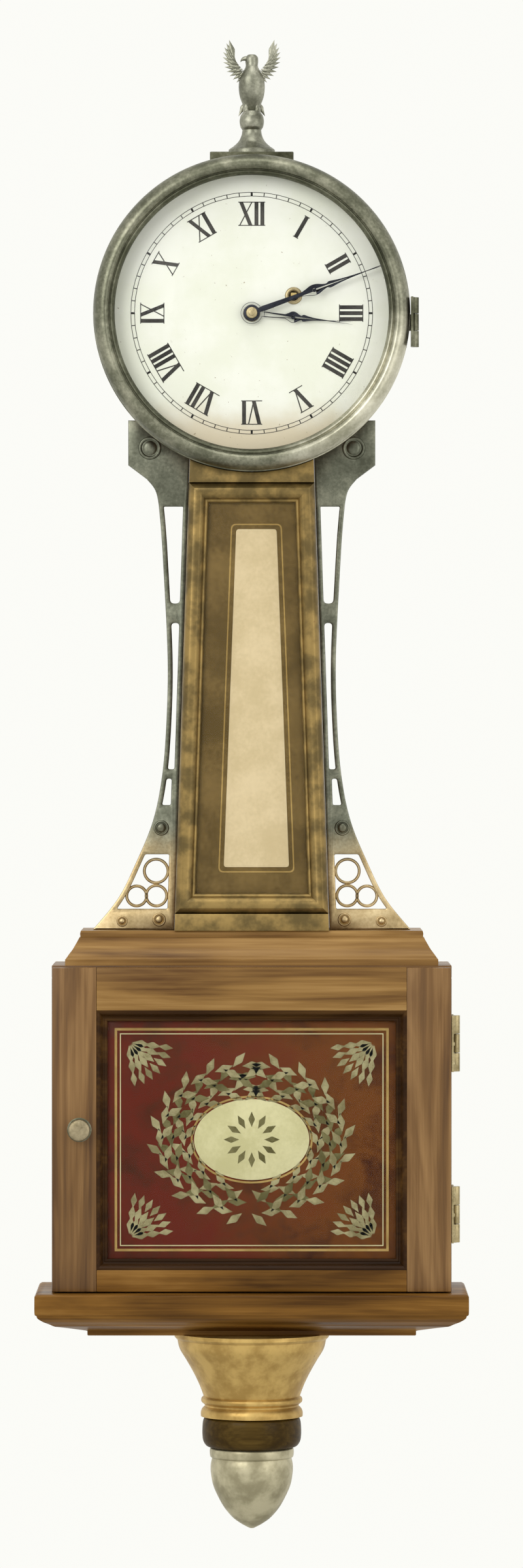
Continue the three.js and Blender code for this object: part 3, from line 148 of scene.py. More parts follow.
class Finish(Web):
    def __init__(self, name):
        self.material = bpy.data.materials.new(name)
        self.material.use_nodes = True
        super().__init__(self.material.node_tree)
        self.tree.nodes.clear()
        self.here = self.node("ShaderNodeTexCoord", output="Object")

    def drawnOut(self, share, way):
        scale = {"across": (share, 1, 1), "up": (1, 1, share)}[way]
        return self.node("ShaderNodeMapping", None, {"Vector": self.here, "Scale": scale})

    def noise(self, scale, detail=3.0, roughness=0.5, distortion=0.0, place=None):
        return self.node("ShaderNodeTexNoise", None, {
            "Vector": place or self.here, "Scale": scale, "Detail": detail,
            "Roughness": roughness, "Distortion": distortion,
        })

    def metalTone(self):
        # Clouds, specks and the tone they give a worked metal
        clouds = self.noise(46.0, detail=5.0, roughness=0.62)
        specks = self.noise(520.0, roughness=0.6)
        return clouds, specks, clouds * 0.72 + specks * 0.28

    def placeOn(self, axis):
        return self.node("ShaderNodeSeparateXYZ", None, {0: self.here}, axis)

    def toned(self, share, tones, stops=(0.34, 0.5, 0.66)):
        return self.node("ShaderNodeValToRGB", {"stops": list(zip(stops, tones))}, {0: share})

    def mixed(self, share, low, high):
        colours = {0: share, 6: fourfold(low), 7: fourfold(high)}
        return self.node("ShaderNodeMix", {"data_type": "RGBA"}, colours, 2)

    def shade(self, sockets, bump=None):
        values = {key: fourfold(value) if key.endswith("Color") else value for key, value in sockets.items()}
        if bump:
            height, strength, distance = bump
            relief = {"Strength": strength, "Distance": distance, "Height": height}
            values["Normal"] = self.node("ShaderNodeBump", None, relief)
        surface = self.node("ShaderNodeBsdfPrincipled", None, values)
        self.node("ShaderNodeOutputMaterial", None, {"Surface": surface})
        return self.material


class Growth(Web):
    # A Geometry Nodes tree with named inputs
    def __init__(self, name, **inputs):
        super().__init__(bpy.data.node_groups.new(name, "GeometryNodeTree"))
        face = self.tree.interface
        face.new_socket(name="Geometry", in_out="INPUT", socket_type="NodeSocketGeometry")
        for label, kind in inputs.items():
            face.new_socket(name=label, in_out="INPUT", socket_type="NodeSocket" + kind)
        face.new_socket(name="Geometry", in_out="OUTPUT", socket_type="NodeSocketGeometry")
        self.entry = self.tree.nodes.new("NodeGroupInput")

    def given(self, label):
        return Wire(self, self.entry.outputs[label])

    def vector(self, x, y, z):
        return self.node("ShaderNodeCombineXYZ", None, {0: x, 1: y, 2: z})

    def turned(self, angles):
        return self.node("FunctionNodeEulerToRotation", None, {0: angles})

    def shapeOf(self, label):
        return self.node("GeometryNodeObjectInfo", None, {"Object": self.given(label)}, "Geometry")

    def ring(self, radius):
        return self.node("GeometryNodeMeshCircle", None, {"Vertices": self.given("count"), "Radius": radius})

    def copied(self, points, shape, rotation, scale=(1.0, 1.0, 1.0)):
        return self.node("GeometryNodeInstanceOnPoints", None, {
            "Points": points, "Instance": shape, "Rotation": rotation, "Scale": scale,
        })

    def stood(self, geometry):
        # Turned upright and moved to its place
        return self.node("GeometryNodeTransform", None, {
            "Geometry": geometry, "Translation": self.given("place"), "Rotation": self.given("stand"),
        })

    def close(self, geometry):
        real = self.node("GeometryNodeRealizeInstances", None, {0: geometry})
        done = self.node("GeometryNodeSetMaterial", None, {0: real, "Material": self.given("finish")})
        self.node("NodeGroupOutput", None, {0: done})
        return self


def grown(name, growth, base, **values):
    holder = linked(name, base)
    modifier = holder.modifiers.new(name, "NODES")
    modifier.node_group = growth.tree
    for item in growth.tree.interface.items_tree:
        if item.in_out == "INPUT" and item.name in values:
            modifier[item.identifier] = values[item.name]
    mesh = evaluated(holder)
    holder.modifiers.clear()
    holder.data = mesh
    mesh.name = name
    return holder


bare = bpy.data.meshes.new("bare")  # The base of a tree that makes its own points


def copiesTree():
    growth = Growth("copies on points", piece="Object", finish="Material")
    turn = growth.node("GeometryNodeInputNamedAttribute", {"data_type": "FLOAT_VECTOR"}, {"Name": "turn"})
    size = growth.node("GeometryNodeInputNamedAttribute", {"data_type": "FLOAT"}, {"Name": "size"})
    points, shape = growth.given("Geometry"), growth.shapeOf("piece")
    return growth.close(growth.copied(points, shape, growth.turned(turn), size))


def marksTree():
    growth = Growth("ring of marks", radius="Float", count="Int", length="Float", width="Float",
                    thickness="Float", stand="Vector", place="Vector", finish="Material")
    angle = growth.node("GeometryNodeInputIndex") * fullTurn / growth.given("count")
    size = growth.vector(growth.given("length"), growth.given("width"), growth.given("thickness"))
    mark = growth.node("GeometryNodeMeshCube", None, {"Size": size})
    turn = growth.turned(growth.vector(0.0, 0.0, angle))
    return growth.close(growth.stood(growth.copied(growth.ring(growth.given("radius")), mark, turn)))


def wreathTree():
    # Leaves along an oval, climbing both sides from its foot and leaning out and in by turns
    growth = Growth("leaf wreath", halfWidth="Float", halfHeight="Float", count="Int", lean="Float",
                    leaf="Object", stand="Vector", place="Vector", finish="Material")
    wide, high = growth.given("halfWidth"), growth.given("halfHeight")
    index = growth.node("GeometryNodeInputIndex")
    angle = index * fullTurn / growth.given("count")
    across, up = angle.math("COSINE", angle), angle.math("SINE", angle)
    oval = growth.node("GeometryNodeSetPosition", None, {
        "Geometry": growth.ring(1.0), "Position": growth.vector(across * wide, up * high, 0.0),
    })
    along = up.math("ARCTAN2", across * high, up * wide * -1.0)
    flip = across.math("LESS_THAN", across, 0.0) * math.pi
    side = (index % 3 - 1.0) * growth.given("lean")
    turn = growth.turned(growth.vector(0.0, 0.0, along + flip + side))
    return growth.close(growth.stood(growth.copied(oval, growth.shapeOf("leaf"), turn)))


copies = copiesTree()
marks = marksTree()
wreath = wreathTree()
print("geometry trees ready")


# Finishes: the tones go from dark to light

woodTones = {
    "mahogany": ((0.055, 0.022, 0.006), (0.185, 0.092, 0.028), (0.34, 0.19, 0.07)),
    # pale: the same mahogany painted lighter, as painted light on the door's top rail and the cap's top
    "pale": ((0.105, 0.044, 0.010), (0.29, 0.155, 0.043), (0.45, 0.265, 0.09)),
    # deep: the same mahogany painted darker, as painted shade on the door's bottom rail and the base
    "deep": ((0.075, 0.03, 0.004), (0.21, 0.095, 0.016), (0.35, 0.18, 0.042)),
    # edge: ebonised wood, made darker still by painted shade in the door's recess
    "edge": ((0.016, 0.006, 0.001), (0.036, 0.014, 0.003), (0.085, 0.038, 0.008)),
    "collar": ((0.02, 0.010, 0.001), (0.05, 0.027, 0.003), (0.11, 0.065, 0.012)),
    "pine": ((0.24, 0.15, 0.07), (0.38, 0.26, 0.13), (0.50, 0.37, 0.20)),
}
# How far the figure and the fibres are drawn out along the grain, and where the three tones lie
woodGrain = {"figure": 0.09, "fibres": 0.02, "stops": (0.36, 0.5, 0.63)}


def woodFinish(name, tones, grain="up", polish=0.12, gloss=0.25):
    finish = Finish(name)
    figure = finish.noise(38.0, detail=4.0, roughness=0.55, distortion=1.6,
                          place=finish.drawnOut(woodGrain["figure"], grain))
    fibres = finish.noise(430.0, roughness=0.6, place=finish.drawnOut(woodGrain["fibres"], grain))
    clouds = finish.noise(11.0, detail=2.0)
    tone = figure * 0.55 + fibres * 0.25 + clouds * 0.2
    colour = finish.toned(tone, woodTones[tones], woodGrain["stops"])
    return finish.shade({
        "Base Color": colour, "Roughness": 0.26 + clouds * 0.32, "Specular IOR Level": gloss,
        "Coat Weight": polish, "Coat Roughness": 0.14,
    }, (fibres * 0.6 + figure * 0.4, 0.16, 0.0004))


metalTones = {
    "darkBrass": ((0.045, 0.045, 0.026), (0.105, 0.105, 0.068), (0.24, 0.235, 0.17)),
    "finialBrass": ((0.11, 0.11, 0.08), (0.24, 0.24, 0.185), (0.44, 0.43, 0.35)),
    "knobBrass": ((0.09, 0.075, 0.042), (0.2, 0.165, 0.095), (0.36, 0.30, 0.19)),
    "hingeBrass": ((0.20, 0.16, 0.08), (0.38, 0.31, 0.17), (0.54, 0.46, 0.27)),
    "clockBrass": ((0.40, 0.28, 0.09), (0.58, 0.43, 0.16), (0.72, 0.57, 0.27)),
    "steel": ((0.22, 0.22, 0.23), (0.36, 0.37, 0.38), (0.5, 0.51, 0.52)),
    "blued": ((0.010, 0.011, 0.016), (0.020, 0.022, 0.030), (0.045, 0.048, 0.06)),
    "iron": ((0.03, 0.028, 0.026), (0.065, 0.06, 0.055), (0.12, 0.105, 0.09)),
    "tin": ((0.17, 0.165, 0.15), (0.28, 0.275, 0.255), (0.4, 0.39, 0.37)),
    # The arm's dark brass, with painted shade from the bezel at the shoulders
    "armDarkBrassAndShade": ((0.075, 0.078, 0.055), (0.15, 0.155, 0.115), (0.28, 0.28, 0.21)),
    "armFoot": ((0.30, 0.215, 0.10), (0.49, 0.37, 0.195), (0.66, 0.53, 0.31)),
    "bezelDull": ((0.07, 0.072, 0.047), (0.15, 0.152, 0.107), (0.30, 0.295, 0.22)),
    # Tones of the painted highlight on the bezel's lower right
    "bezelHighlight": ((0.34, 0.33, 0.24), (0.52, 0.50, 0.39), (0.68, 0.66, 0.54)),
}


def metalFinish(name, tones, smooth=0.24, dull=0.42, metallic=1.0, relief=0.08):
    finish = Finish(name)
    clouds, specks, tone = finish.metalTone()
    return finish.shade({
        "Base Color": finish.toned(tone, metalTones[tones]), "Metallic": metallic,
        "Roughness": smooth + (dull - smooth) * 2.0 * clouds,
    }, (specks, relief, 0.0002))


# Metres up from the dial's centre, where the dark tone with its painted shade gives way to the paler foot
armShadeFade = {"from": -0.352, "to": -0.318, "uneven": 0.02}


def armFinish():
    # Dark brass, with painted shade from the bezel on the shoulders, and paler towards the foot
    finish = Finish("side arm brass")
    clouds, specks, tone = finish.metalTone()
    dull, bright = finish.toned(tone, metalTones["armDarkBrassAndShade"]), finish.toned(tone, metalTones["armFoot"])
    # The dark tone and its painted shade fade out towards the foot
    height = finish.placeOn("Z") + clouds * armShadeFade["uneven"]
    foot = 1.0 - height.eased(armShadeFade["from"], armShadeFade["to"])
    return finish.shade({
        "Base Color": finish.mixed(foot, dull, bright), "Metallic": 0.95, "Roughness": 0.22 + 0.36 * clouds,
    }, (specks, 0.08, 0.0002))


# Metres from the dial's centre to the rim's edge and to the painted highlight on the lower right, and how far
# the tone is raised on the outer rim and lowered within it: painted light and shade across the ring
bezelPaintedLight = {"rimFrom": 0.0895, "rimTo": 0.092, "from": 0.072, "to": 0.1, "rimTone": 0.15, "innerTone": 0.12}


def bezelFinish():
    # Dark all round but for a painted highlight on the lower right
    finish = Finish("bezel brass")
    clouds, specks, tone = finish.metalTone()
    across, up = finish.placeOn("X"), finish.placeOn("Z")
    # Painted light on the outer rim and painted shade within it
    rim = (across * across + up * up).eased(bezelPaintedLight["rimFrom"] ** 2, bezelPaintedLight["rimTo"] ** 2)
    dull = finish.toned(tone + (rim * bezelPaintedLight["rimTone"] - bezelPaintedLight["innerTone"]), metalTones["bezelDull"])
    bright = finish.toned(tone, metalTones["bezelHighlight"])
    # Where the painted highlight lies
    lowerRight = across * 0.8 - up * 0.6 + clouds * 0.012
    highlightShare = lowerRight.eased(bezelPaintedLight["from"], bezelPaintedLight["to"])
    return finish.shade({
        "Base Color": finish.mixed(highlightShare, dull, bright), "Metallic": 1.0, "Roughness": 0.24 + 0.36 * clouds,
    }, (specks, 0.08, 0.0002))


giltClay = {"colour": (0.15, 0.052, 0.018), "edge": 0.09}


def giltFinish(name, dark, light, worn):
    # Leaf over red-brown clay, rubbed through in patches
    finish = Finish(name)
    clouds = finish.noise(60.0, detail=4.0, roughness=0.6)
    grain = finish.noise(380.0, detail=4.0, roughness=0.65)
    leafColour = finish.mixed(clouds.eased(0.35, 0.65), dark, light)
    rubbed = (clouds * 0.5 + grain * 0.5).eased(worn, worn + giltClay["edge"])
    return finish.shade({
        "Base Color": finish.mixed(rubbed, leafColour, giltClay["colour"]), "Metallic": 0.72 - rubbed * 0.6,
        "Roughness": 0.3 + grain * 0.28,
    }, (grain * 0.6 + clouds * 0.4, 0.2, 0.0004))


def paintFinish(name, low, high, rough=0.35, scale=28.0, sheen=0.1):
    finish = Finish(name)
    clouds = finish.noise(scale, detail=4.0, roughness=0.6)
    specks = finish.noise(scale * 14, roughness=0.6)
    colour = finish.mixed((clouds * 0.75 + specks * 0.25).eased(0.36, 0.64), low, high)
    return finish.shade({
        "Base Color": colour, "Roughness": rough + specks * 0.12, "Specular IOR Level": sheen,
    }, (specks, 0.05, 0.0002))


dialPaint = {
    "cloud": (0.90, 0.92, 0.77), "clean": (0.97, 0.98, 0.87), "stain": (0.76, 0.67, 0.48),
    "speck": (0.35, 0.28, 0.16),
    # Metres up from the dial's centre
    "stainFrom": -0.066, "stainTo": -0.038,
}


def dialFinish():
    # Off-white, with the warm stain that a painted dial gathers in its lower part
    finish = Finish("dial paint")
    clouds = finish.noise(22.0, detail=5.0, roughness=0.6)
    specks = finish.noise(420.0, roughness=0.7)
    clean = finish.mixed(clouds.eased(0.35, 0.65), dialPaint["cloud"], dialPaint["clean"])
    height = finish.placeOn("Z") + clouds * 0.03
    stained = 1.0 - height.eased(dialPaint["stainFrom"], dialPaint["stainTo"])
    aged = finish.mixed(stained, clean, dialPaint["stain"])
    colour = finish.mixed(specks.eased(0.70, 0.76), aged, dialPaint["speck"])
    return finish.shade({
        "Base Color": colour, "Roughness": 0.34 + clouds * 0.2, "Coat Weight": 0.1, "Coat Roughness": 0.2,
        "Specular IOR Level": 0.2,
    }, (clouds, 0.05, 0.0004))


tabletPaint = {"left": (0.13, 0.016, 0.006), "right": (0.16, 0.052, 0.008), "brushed": (0.055, 0.014, 0.004)}


def tabletGround():
    # Deep red on the left, turning browner to the right, brushed on in soft clouds
    finish = Finish("tablet ground")
    clouds = finish.noise(26.0, detail=5.0, roughness=0.62, distortion=0.6)
    grain = finish.noise(300.0)
    across = (finish.placeOn("X") * 5.4 + 0.5 + (clouds - 0.5) * 1.1).eased(0.1, 0.9)
    base = finish.mixed(across, tabletPaint["left"], tabletPaint["right"])
    colour = finish.mixed((clouds * 0.85 + grain * 0.15).eased(0.42, 0.7), base, tabletPaint["brushed"])
    return finish.shade({"Base Color": colour, "Roughness": 0.4 + grain * 0.15, "Specular IOR Level": 0.03})


def glassFinish():
    finish = Finish("clear glass")
    wipe = finish.noise(18.0)
    body = finish.node("ShaderNodeBsdfPrincipled", None, {
        "Base Color": (0.92, 0.95, 0.92, 1.0), "Roughness": 0.04 + wipe * 0.04, "Alpha": 0.002 + wipe * 0.004,
    })
    shine = finish.node("ShaderNodeBsdfAnisotropic", {"distribution": "GGX"}, {
        "Color": (1.0, 1.0, 1.0, 1.0), "Roughness": 0.03,
    })
    # Grows with the fifth power of the slant, on a pane's inner faces as on its outer ones
    slant = finish.node("ShaderNodeLayerWeight", None, {"Blend": 0.5}, "Facing")
    squared = slant * slant
    edge = squared * squared * slant * 0.8 + 0.002
    surface = finish.node("ShaderNodeMixShader", None, {0: edge, 1: body, 2: shine})
    finish.node("ShaderNodeOutputMaterial", None, {"Surface": surface})
    return finish.material


def floorFinish():
    finish = Finish("pale floor")
    dust = finish.noise(6.0)
    return finish.shade({
        "Base Color": finish.mixed(dust, (0.78, 0.78, 0.75), (0.84, 0.84, 0.81)), "Roughness": 0.6,
    })


looks = {
    "woodUp": woodFinish("mahogany upright", "mahogany"),
    "woodAcross": woodFinish("mahogany across", "mahogany", "across"),
    # Mahogany with painted light, and mahogany with painted shade
    "paintedLightWood": woodFinish("light mahogany", "pale", "across", 0.08, 0.15),
    "paintedShadeWood": woodFinish("dark mahogany", "deep", "across", 0.06, 0.1),
    "ebonisedShadedWood": woodFinish("ebonised moulding", "edge", "across", 0.04, 0.08),
    "collarWood": woodFinish("ebonised turning", "collar", "across", 0.05, 0.08),
    "pine": woodFinish("pine", "pine", "up", 0.0),
    "throatGilt": giltFinish("throat gilding", (0.13, 0.09, 0.03), (0.32, 0.215, 0.07), 0.62),
    "cupGilt": giltFinish("bracket gilding", (0.40, 0.25, 0.07), (0.62, 0.42, 0.14), 0.64),
    "lineGilt": paintFinish("gilt line", (0.34, 0.22, 0.06), (0.5, 0.34, 0.11), 0.3),
    "acorn": giltFinish("bronzed acorn", (0.32, 0.285, 0.175), (0.55, 0.50, 0.335), 0.68),
    "bezelBrass": bezelFinish(),
    "darkBrass": metalFinish("dark brass", "darkBrass"),
    "armBrass": armFinish(),
    "finialBrass": metalFinish("finial brass", "finialBrass"),
    "knobBrass": metalFinish("knob brass", "knobBrass"),
    "hingeBrass": metalFinish("hinge brass", "hingeBrass"),
    "clockBrass": metalFinish("clock brass", "clockBrass", 0.2, 0.34),
    "steel": metalFinish("polished steel", "steel"),
    "blued": metalFinish("blued steel", "blued"),
    "iron": metalFinish("cast iron", "iron", 0.5, 0.7, metallic=0.8, relief=0.5),
    "tin": metalFinish("tinplate", "tin", 0.35, 0.5),
    "dial": dialFinish(),
    "numeral": paintFinish("numeral paint", (0.028, 0.027, 0.024), (0.085, 0.08, 0.07), 0.4),
    "throatCream": paintFinish("cream panel", (0.66, 0.53, 0.295), (0.79, 0.645, 0.39)),
    "throatBorder": paintFinish("throat border paint", (0.115, 0.074, 0.021), (0.222, 0.145, 0.046),
                                sheen=0.04),
    "tabletGround": tabletGround(),
    "tabletLeaf": paintFinish("green leaf paint", (0.10, 0.088, 0.028), (0.21, 0.19, 0.08), 0.4, 90.0, 0.04),
    "tabletPale": paintFinish("pale leaf paint", (0.22, 0.19, 0.085), (0.42, 0.38, 0.20), 0.4, 90.0, 0.04),
    "tabletCream": paintFinish("cream paint", (0.60, 0.565, 0.29), (0.74, 0.70, 0.40), 0.4, sheen=0.04),
    "glass": glassFinish(),
    "gut": paintFinish("gut", (0.36, 0.24, 0.09), (0.56, 0.42, 0.2), 0.45),
    "floor": floorFinish(),
}
print("finishes:", len(looks))


# Mesh helpers

sunk = 0.1  # How deep a trim piece stands in the face that it lies on


def span(node):
    # A CAD node's lowest and highest corners in millimetres
    low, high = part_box(node)
    return low / mm, high / mm


def depths(node):
    # A CAD node's back and front
    low, high = span(node)
    return -high.y, -low.y


def pieceFrom(name, form, look, sharpOver=32.0, outward=True):
    bmesh.ops.remove_doubles(form, verts=form.verts, dist=1e-6)
    if outward:
        bmesh.ops.recalc_face_normals(form, faces=form.faces)
    limit = math.radians(sharpOver)
    for face in form.faces:
        face.smooth = True
    for edge in form.edges:
        edge.smooth = edge.calc_face_angle(0.0) < limit
    mesh = bpy.data.meshes.new(name)
    form.to_mesh(mesh)
    form.free()
    mesh.materials.append(looks[look])
    return linked(name, mesh)


def keep(piece, body, slot, *nodes):
    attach(piece, body)
    if nodes:
        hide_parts(*nodes)
    return piece


def between(before, start, end, after, t):
    # A smooth curve's value at a share t of the way from its start to its end
    bend = 2 * before - 5 * start + 4 * end - after
    twist = 3 * start - before - 3 * end + after
    return 0.5 * (2 * start + (end - before) * t + bend * t ** 2 + twist * t ** 3)


def flow(points, steps=6):
    # A smooth run through the points
    run = []
    last = len(points) - 1
    for i in range(last):
        around = [points[max(i - 1, 0)], points[i], points[i + 1], points[min(i + 2, last)]]
        for step in range(steps):
            run.append(tuple(between(*values, step / steps) for values in zip(*around)))
    run.append(points[-1])
    return run


def profileOf(runs, start=0.0, way=1, steps=6):
    # Runs of three points or more are smooth and shorter ones stay as they are.
    # The second number of each point is measured from the start, onwards or back
    points = []
    for run in runs:
        points += flow(run, steps) if len(run) > 2 else run
    return [(first, start + way * second) for first, second in points]


def mirrored(side, depth):
    # A section alike on both sides of a depth, from [radius, half thickness] points of one side
    return [(r, depth - half) for r, half in reversed(side)] + [(r, depth + half) for r, half in side[1:]]


def ringSection(inner, outer, low, high, across, up):
    # A ring's closed section with all four arrises cut
    left, right, foot, head = inner + across, outer - across, low + up, high - up
    return [(inner, foot), (left, low), (right, low), (outer, foot),
            (outer, head), (right, high), (left, high), (inner, head), (inner, foot)]


def rectangle(half, top, bottom):
    return [(-half, top), (half, top), (half, bottom), (-half, bottom)]


def circle(radius, count=40, x=0.0, z=0.0):
    return [(x + radius * math.sin(fullTurn * i / count), z + radius * math.cos(fullTurn * i / count))
            for i in range(count)]


def ellipse(wide, high, count):
    return [(wide * x, high * z) for x, z in circle(1.0, count)]


def corner(form, x, depth, z):
    return form.verts.new(Vector((x, -depth, z)) * mm)


def bridge(form, first, second):
    count = max(len(first), len(second))
    for i in range(count):
        j = (i + 1) % count
        kept = []
        for point in (first[i % len(first)], first[j % len(first)], second[j % len(second)],
                      second[i % len(second)]):
            if point not in kept:
                kept.append(point)
        if len(kept) > 2:
            form.faces.new(kept)


def skin(form, rings, ends=False):
    # Walls from each ring to the next, and a flat face on both ends
    for first, second in zip(rings, rings[1:]):
        bridge(form, first, second)
    if ends:
        form.faces.new(rings[0])
        form.faces.new(rings[-1])


def addTurning(form, profile, at, forward=True, segments=96):
    # A lathe form from [radius, along] points: along is the depth, or the height of an upright one
    x, depth, z = at
    rings = []
    for radius, along in profile:
        count = segments if radius > 1e-6 else 1
        ring = []
        for i in range(count):
            angle = fullTurn * i / count
            side, lift = radius * math.sin(angle), radius * math.cos(angle)
            if forward:
                ring.append(corner(form, x + side, depth + along, z + lift))
            else:
                ring.append(corner(form, x + side, depth + lift, z + along))
        rings.append(ring)
    skin(form, rings)


def turned(name, profile, look, at=(0, 0, 0), forward=True, segments=96, sharpOver=32.0):
    form = bmesh.new()
    addTurning(form, profile, at, forward, segments)
    return pieceFrom(name, form, look, sharpOver)


def addBlock(form, low, high):
    # A box between two corners given as x, depth and z
    corners = [corner(form, x, depth, z) for x in (low[0], high[0]) for depth in (low[1], high[1])
               for z in (low[2], high[2])]
    for face in ((0, 1, 3, 2), (4, 6, 7, 5), (0, 4, 5, 1), (2, 3, 7, 6), (0, 2, 6, 4), (1, 5, 7, 3)):
        form.faces.new([corners[i] for i in face])


def bevelEdges(form, width, segments=2, over=25.0):
    limit = math.radians(over)
    edges = [edge for edge in form.edges if len(edge.link_faces) == 2 and edge.calc_face_angle(0.0) > limit]
    bmesh.ops.bevel(form, geom=edges, offset=width * mm, offset_type="OFFSET", segments=segments, profile=0.6,
                    affect="EDGES", clamp_overlap=True)


def easedBlocks(name, boxes, look, width):
    form = bmesh.new()
    for low, high in boxes:
        addBlock(form, low, high)
    bmesh.ops.recalc_face_normals(form, faces=form.faces)
    bevelEdges(form, width)
    return pieceFrom(name, form, look)


def easedCopy(name, node, look, width, segments=2):
    # The CAD node's own form with its arrises softened
    form = bmesh.new()
    form.from_mesh(frame["nodes"][node].data)
    bmesh.ops.remove_doubles(form, verts=form.verts, dist=2e-6)
    bmesh.ops.dissolve_limit(form, angle_limit=math.radians(0.4), verts=form.verts, edges=form.edges)
    bevelEdges(form, width, segments)
    return pieceFrom(name, form, look, outward=False)


def carved(piece, tools):
    # Cuts the tools out of a piece, and removes them
    for tool in tools:
        cutter = piece.modifiers.new("cut", "BOOLEAN")
        cutter.operation = "DIFFERENCE"
        cutter.solver = "EXACT"
        cutter.object = tool
    mesh = evaluated(piece)
    piece.modifiers.clear()
    piece.data = mesh
    for tool in tools:
        bpy.data.objects.remove(tool)
    return piece


def blockTool(low, high):
    form = bmesh.new()
    addBlock(form, low, high)
    return pieceFrom("cuttingBlock", form, "pine")


def flatForm(name, outlines, depth, thickness, look, rounding, turn=0.0):
    # A sheet cut to outlines of x and z, holes included, with rounded edges, then turned clockwise
    curve = bpy.data.curves.new(name, "CURVE")
    curve.dimensions = "2D"
    curve.fill_mode = "BOTH"
    curve.extrude = (thickness / 2 - rounding) * mm
    curve.bevel_depth = rounding * mm
    curve.bevel_resolution = 1
    curve.offset = -rounding * mm
    for points in outlines:
        spline = curve.splines.new("POLY")
        spline.points.add(len(points) - 1)
        for point, (x, z) in zip(spline.points, points):
            point.co = (x * mm, z * mm, 0.0, 1.0)
        spline.use_cyclic_u = True
    holder = linked(name, curve)
    mesh = evaluated(holder)
    bpy.data.objects.remove(holder)
    bpy.data.curves.remove(curve)
    form = bmesh.new()
    form.from_mesh(mesh)
    bpy.data.meshes.remove(mesh)
    place = Matrix.Translation(Vector((0, -depth - thickness / 2, 0)) * mm)
    form.transform(place @ Matrix.Rotation(turn, 4, "Y") @ Matrix.Rotation(quarterTurn, 4, "X"))
    return pieceFrom(name, form, look, 40.0)


paintFilm = {"thickness": 0.12, "rounding": 0.03}


def painted(name, outlines, depth, look):
    # A shape painted on a pane
    return flatForm(name, outlines, depth, paintFilm["thickness"], look, paintFilm["rounding"])


def leafTemplate(name, length, width, look):
    # A leaf that points along +X, lying in the xy plane
    side = [(0.0, 0.0), (0.28, 0.55), (0.52, 1.0), (0.36, 1.35), (0.0, 2.0)]
    right = flow([(x * width, z * length / 2) for x, z in side], 4)
    leaf = painted(name, [right + [(-x, z) for x, z in reversed(right[1:-1])]], 0.0, look)
    for axis in ("X", "Z"):
        leaf.data.transform(Matrix.Rotation(-quarterTurn, 4, axis))
    return leaf


def roundedCorners(points, radius, over=20.0, steps=5):
    # Each corner sharper than the limit becomes a short curve
    out = []
    count = len(points)
    for i, (x, z) in enumerate(points):
        here = Vector((x, z))
        back = Vector(points[i - 1]) - here
        ahead = Vector(points[(i + 1) % count]) - here
        if math.degrees(back.angle(-ahead)) < over:
            out.append((x, z))
            continue
        reach = min(radius, back.length * 0.45, ahead.length * 0.45)
        start, end = here + back.normalized() * reach, here + ahead.normalized() * reach
        for step in range(steps + 1):
            t = step / steps
            out.append(tuple(start * (1 - t) ** 2 + here * 2 * t * (1 - t) + end * t ** 2))
    return out


def offsetCorners(corners, out):
    # Corners of a convex outline after each side moves out by a distance
    count = len(corners)
    middle = sum((Vector(c) for c in corners), Vector((0, 0))) / count
    lines = []
    for i in range(count):
        a, b = Vector(corners[i]), Vector(corners[(i + 1) % count])
        normal = Vector((b.y - a.y, a.x - b.x)).normalized()
        if normal.dot(a - middle) < 0:
            normal = -normal
        lines.append((normal, normal.dot(a) + out))
    moved = []
    for i in range(count):
        (n, p), (m, q) = lines[i - 1], lines[i]
        cross = n.x * m.y - n.y * m.x
        moved.append(((p * m.y - q * n.y) / cross, (n.x * q - m.x * p) / cross))
    return moved


def framed(name, corners, profile, look):
    # A moulding run round an outline with mitred corners, from [distance out, depth] points
    form = bmesh.new()
    rings = [[corner(form, x, depth, z) for x, z in offsetCorners(corners, out)] for out, depth in profile]
    skin(form, rings + rings[:1])
    return pieceFrom(name, form, look)


def mitred(name, levels, half, front, look):
    # A moulding on three sides, flat against the wall, from [stand out, z] points
    form = bmesh.new()
    rings = []
    for out, z in levels:
        reach = half + out
        spots = [(-reach, 0), (reach, 0), (reach, front + out), (-reach, front + out)]
        rings.append([corner(form, x, depth, z) for x, depth in spots])
    skin(form, rings, True)
    return pieceFrom(name, form, look, 38.0)


def copiesOf(name, template, spots, look):
    # Copies of one small form on [place, turn, size] spots
    cloud = bpy.data.meshes.new(name)
    cloud.from_pydata([tuple(Vector(place) * mm) for place, turn, size in spots], [], [])
    cloud.attributes.new("turn", "FLOAT_VECTOR", "POINT")
    cloud.attributes.new("size", "FLOAT", "POINT")
    for i, (place, turn, size) in enumerate(spots):
        cloud.attributes["turn"].data[i].vector = turn
        cloud.attributes["size"].data[i].value = size
    return grown(name, copies, cloud, piece=template, finish=looks[look])


# Radius and height of a slotted round head of one millimetre radius, standing on the xy plane
screwHead = {
    "run": [[(0, -0.6), (1.0, -0.6)], [(1.0, 0.0), (0.86, 0.28), (0.5, 0.46), (0, 0.52)]],
    "slot": ((-1.2, -0.13, 0.22), (1.2, 0.13, 1.0)), "segments": 20,
}
screw = carved(turned("screwTemplate", profileOf(screwHead["run"], steps=3), "steel", (0, 0, 0), False,
                      screwHead["segments"]), [blockTool(*screwHead["slot"])])
facing = {"right": (0, quarterTurn, 0), "back": (-quarterTurn, 0, 0)}


def screws(name, spots, way, body, slot, radius, look):
    placed = [((x, -depth, z), facing[way], radius) for x, depth, z in spots]
    return keep(copiesOf(name, screw, placed, look), body, slot)


# Camera, lamps and stage come before the pieces

# Angles in degrees, the frame and its centre in pixels, the rest in millimetres
view = {"azimuth": 0.0, "elevation": 0.5, "distance": 4500.0, "pixel": 0.42, "frame": (800, 2400),
        "centre": (385, 478), "planeDepth": 80.0, "sensor": 36.0, "clip": 50.0}


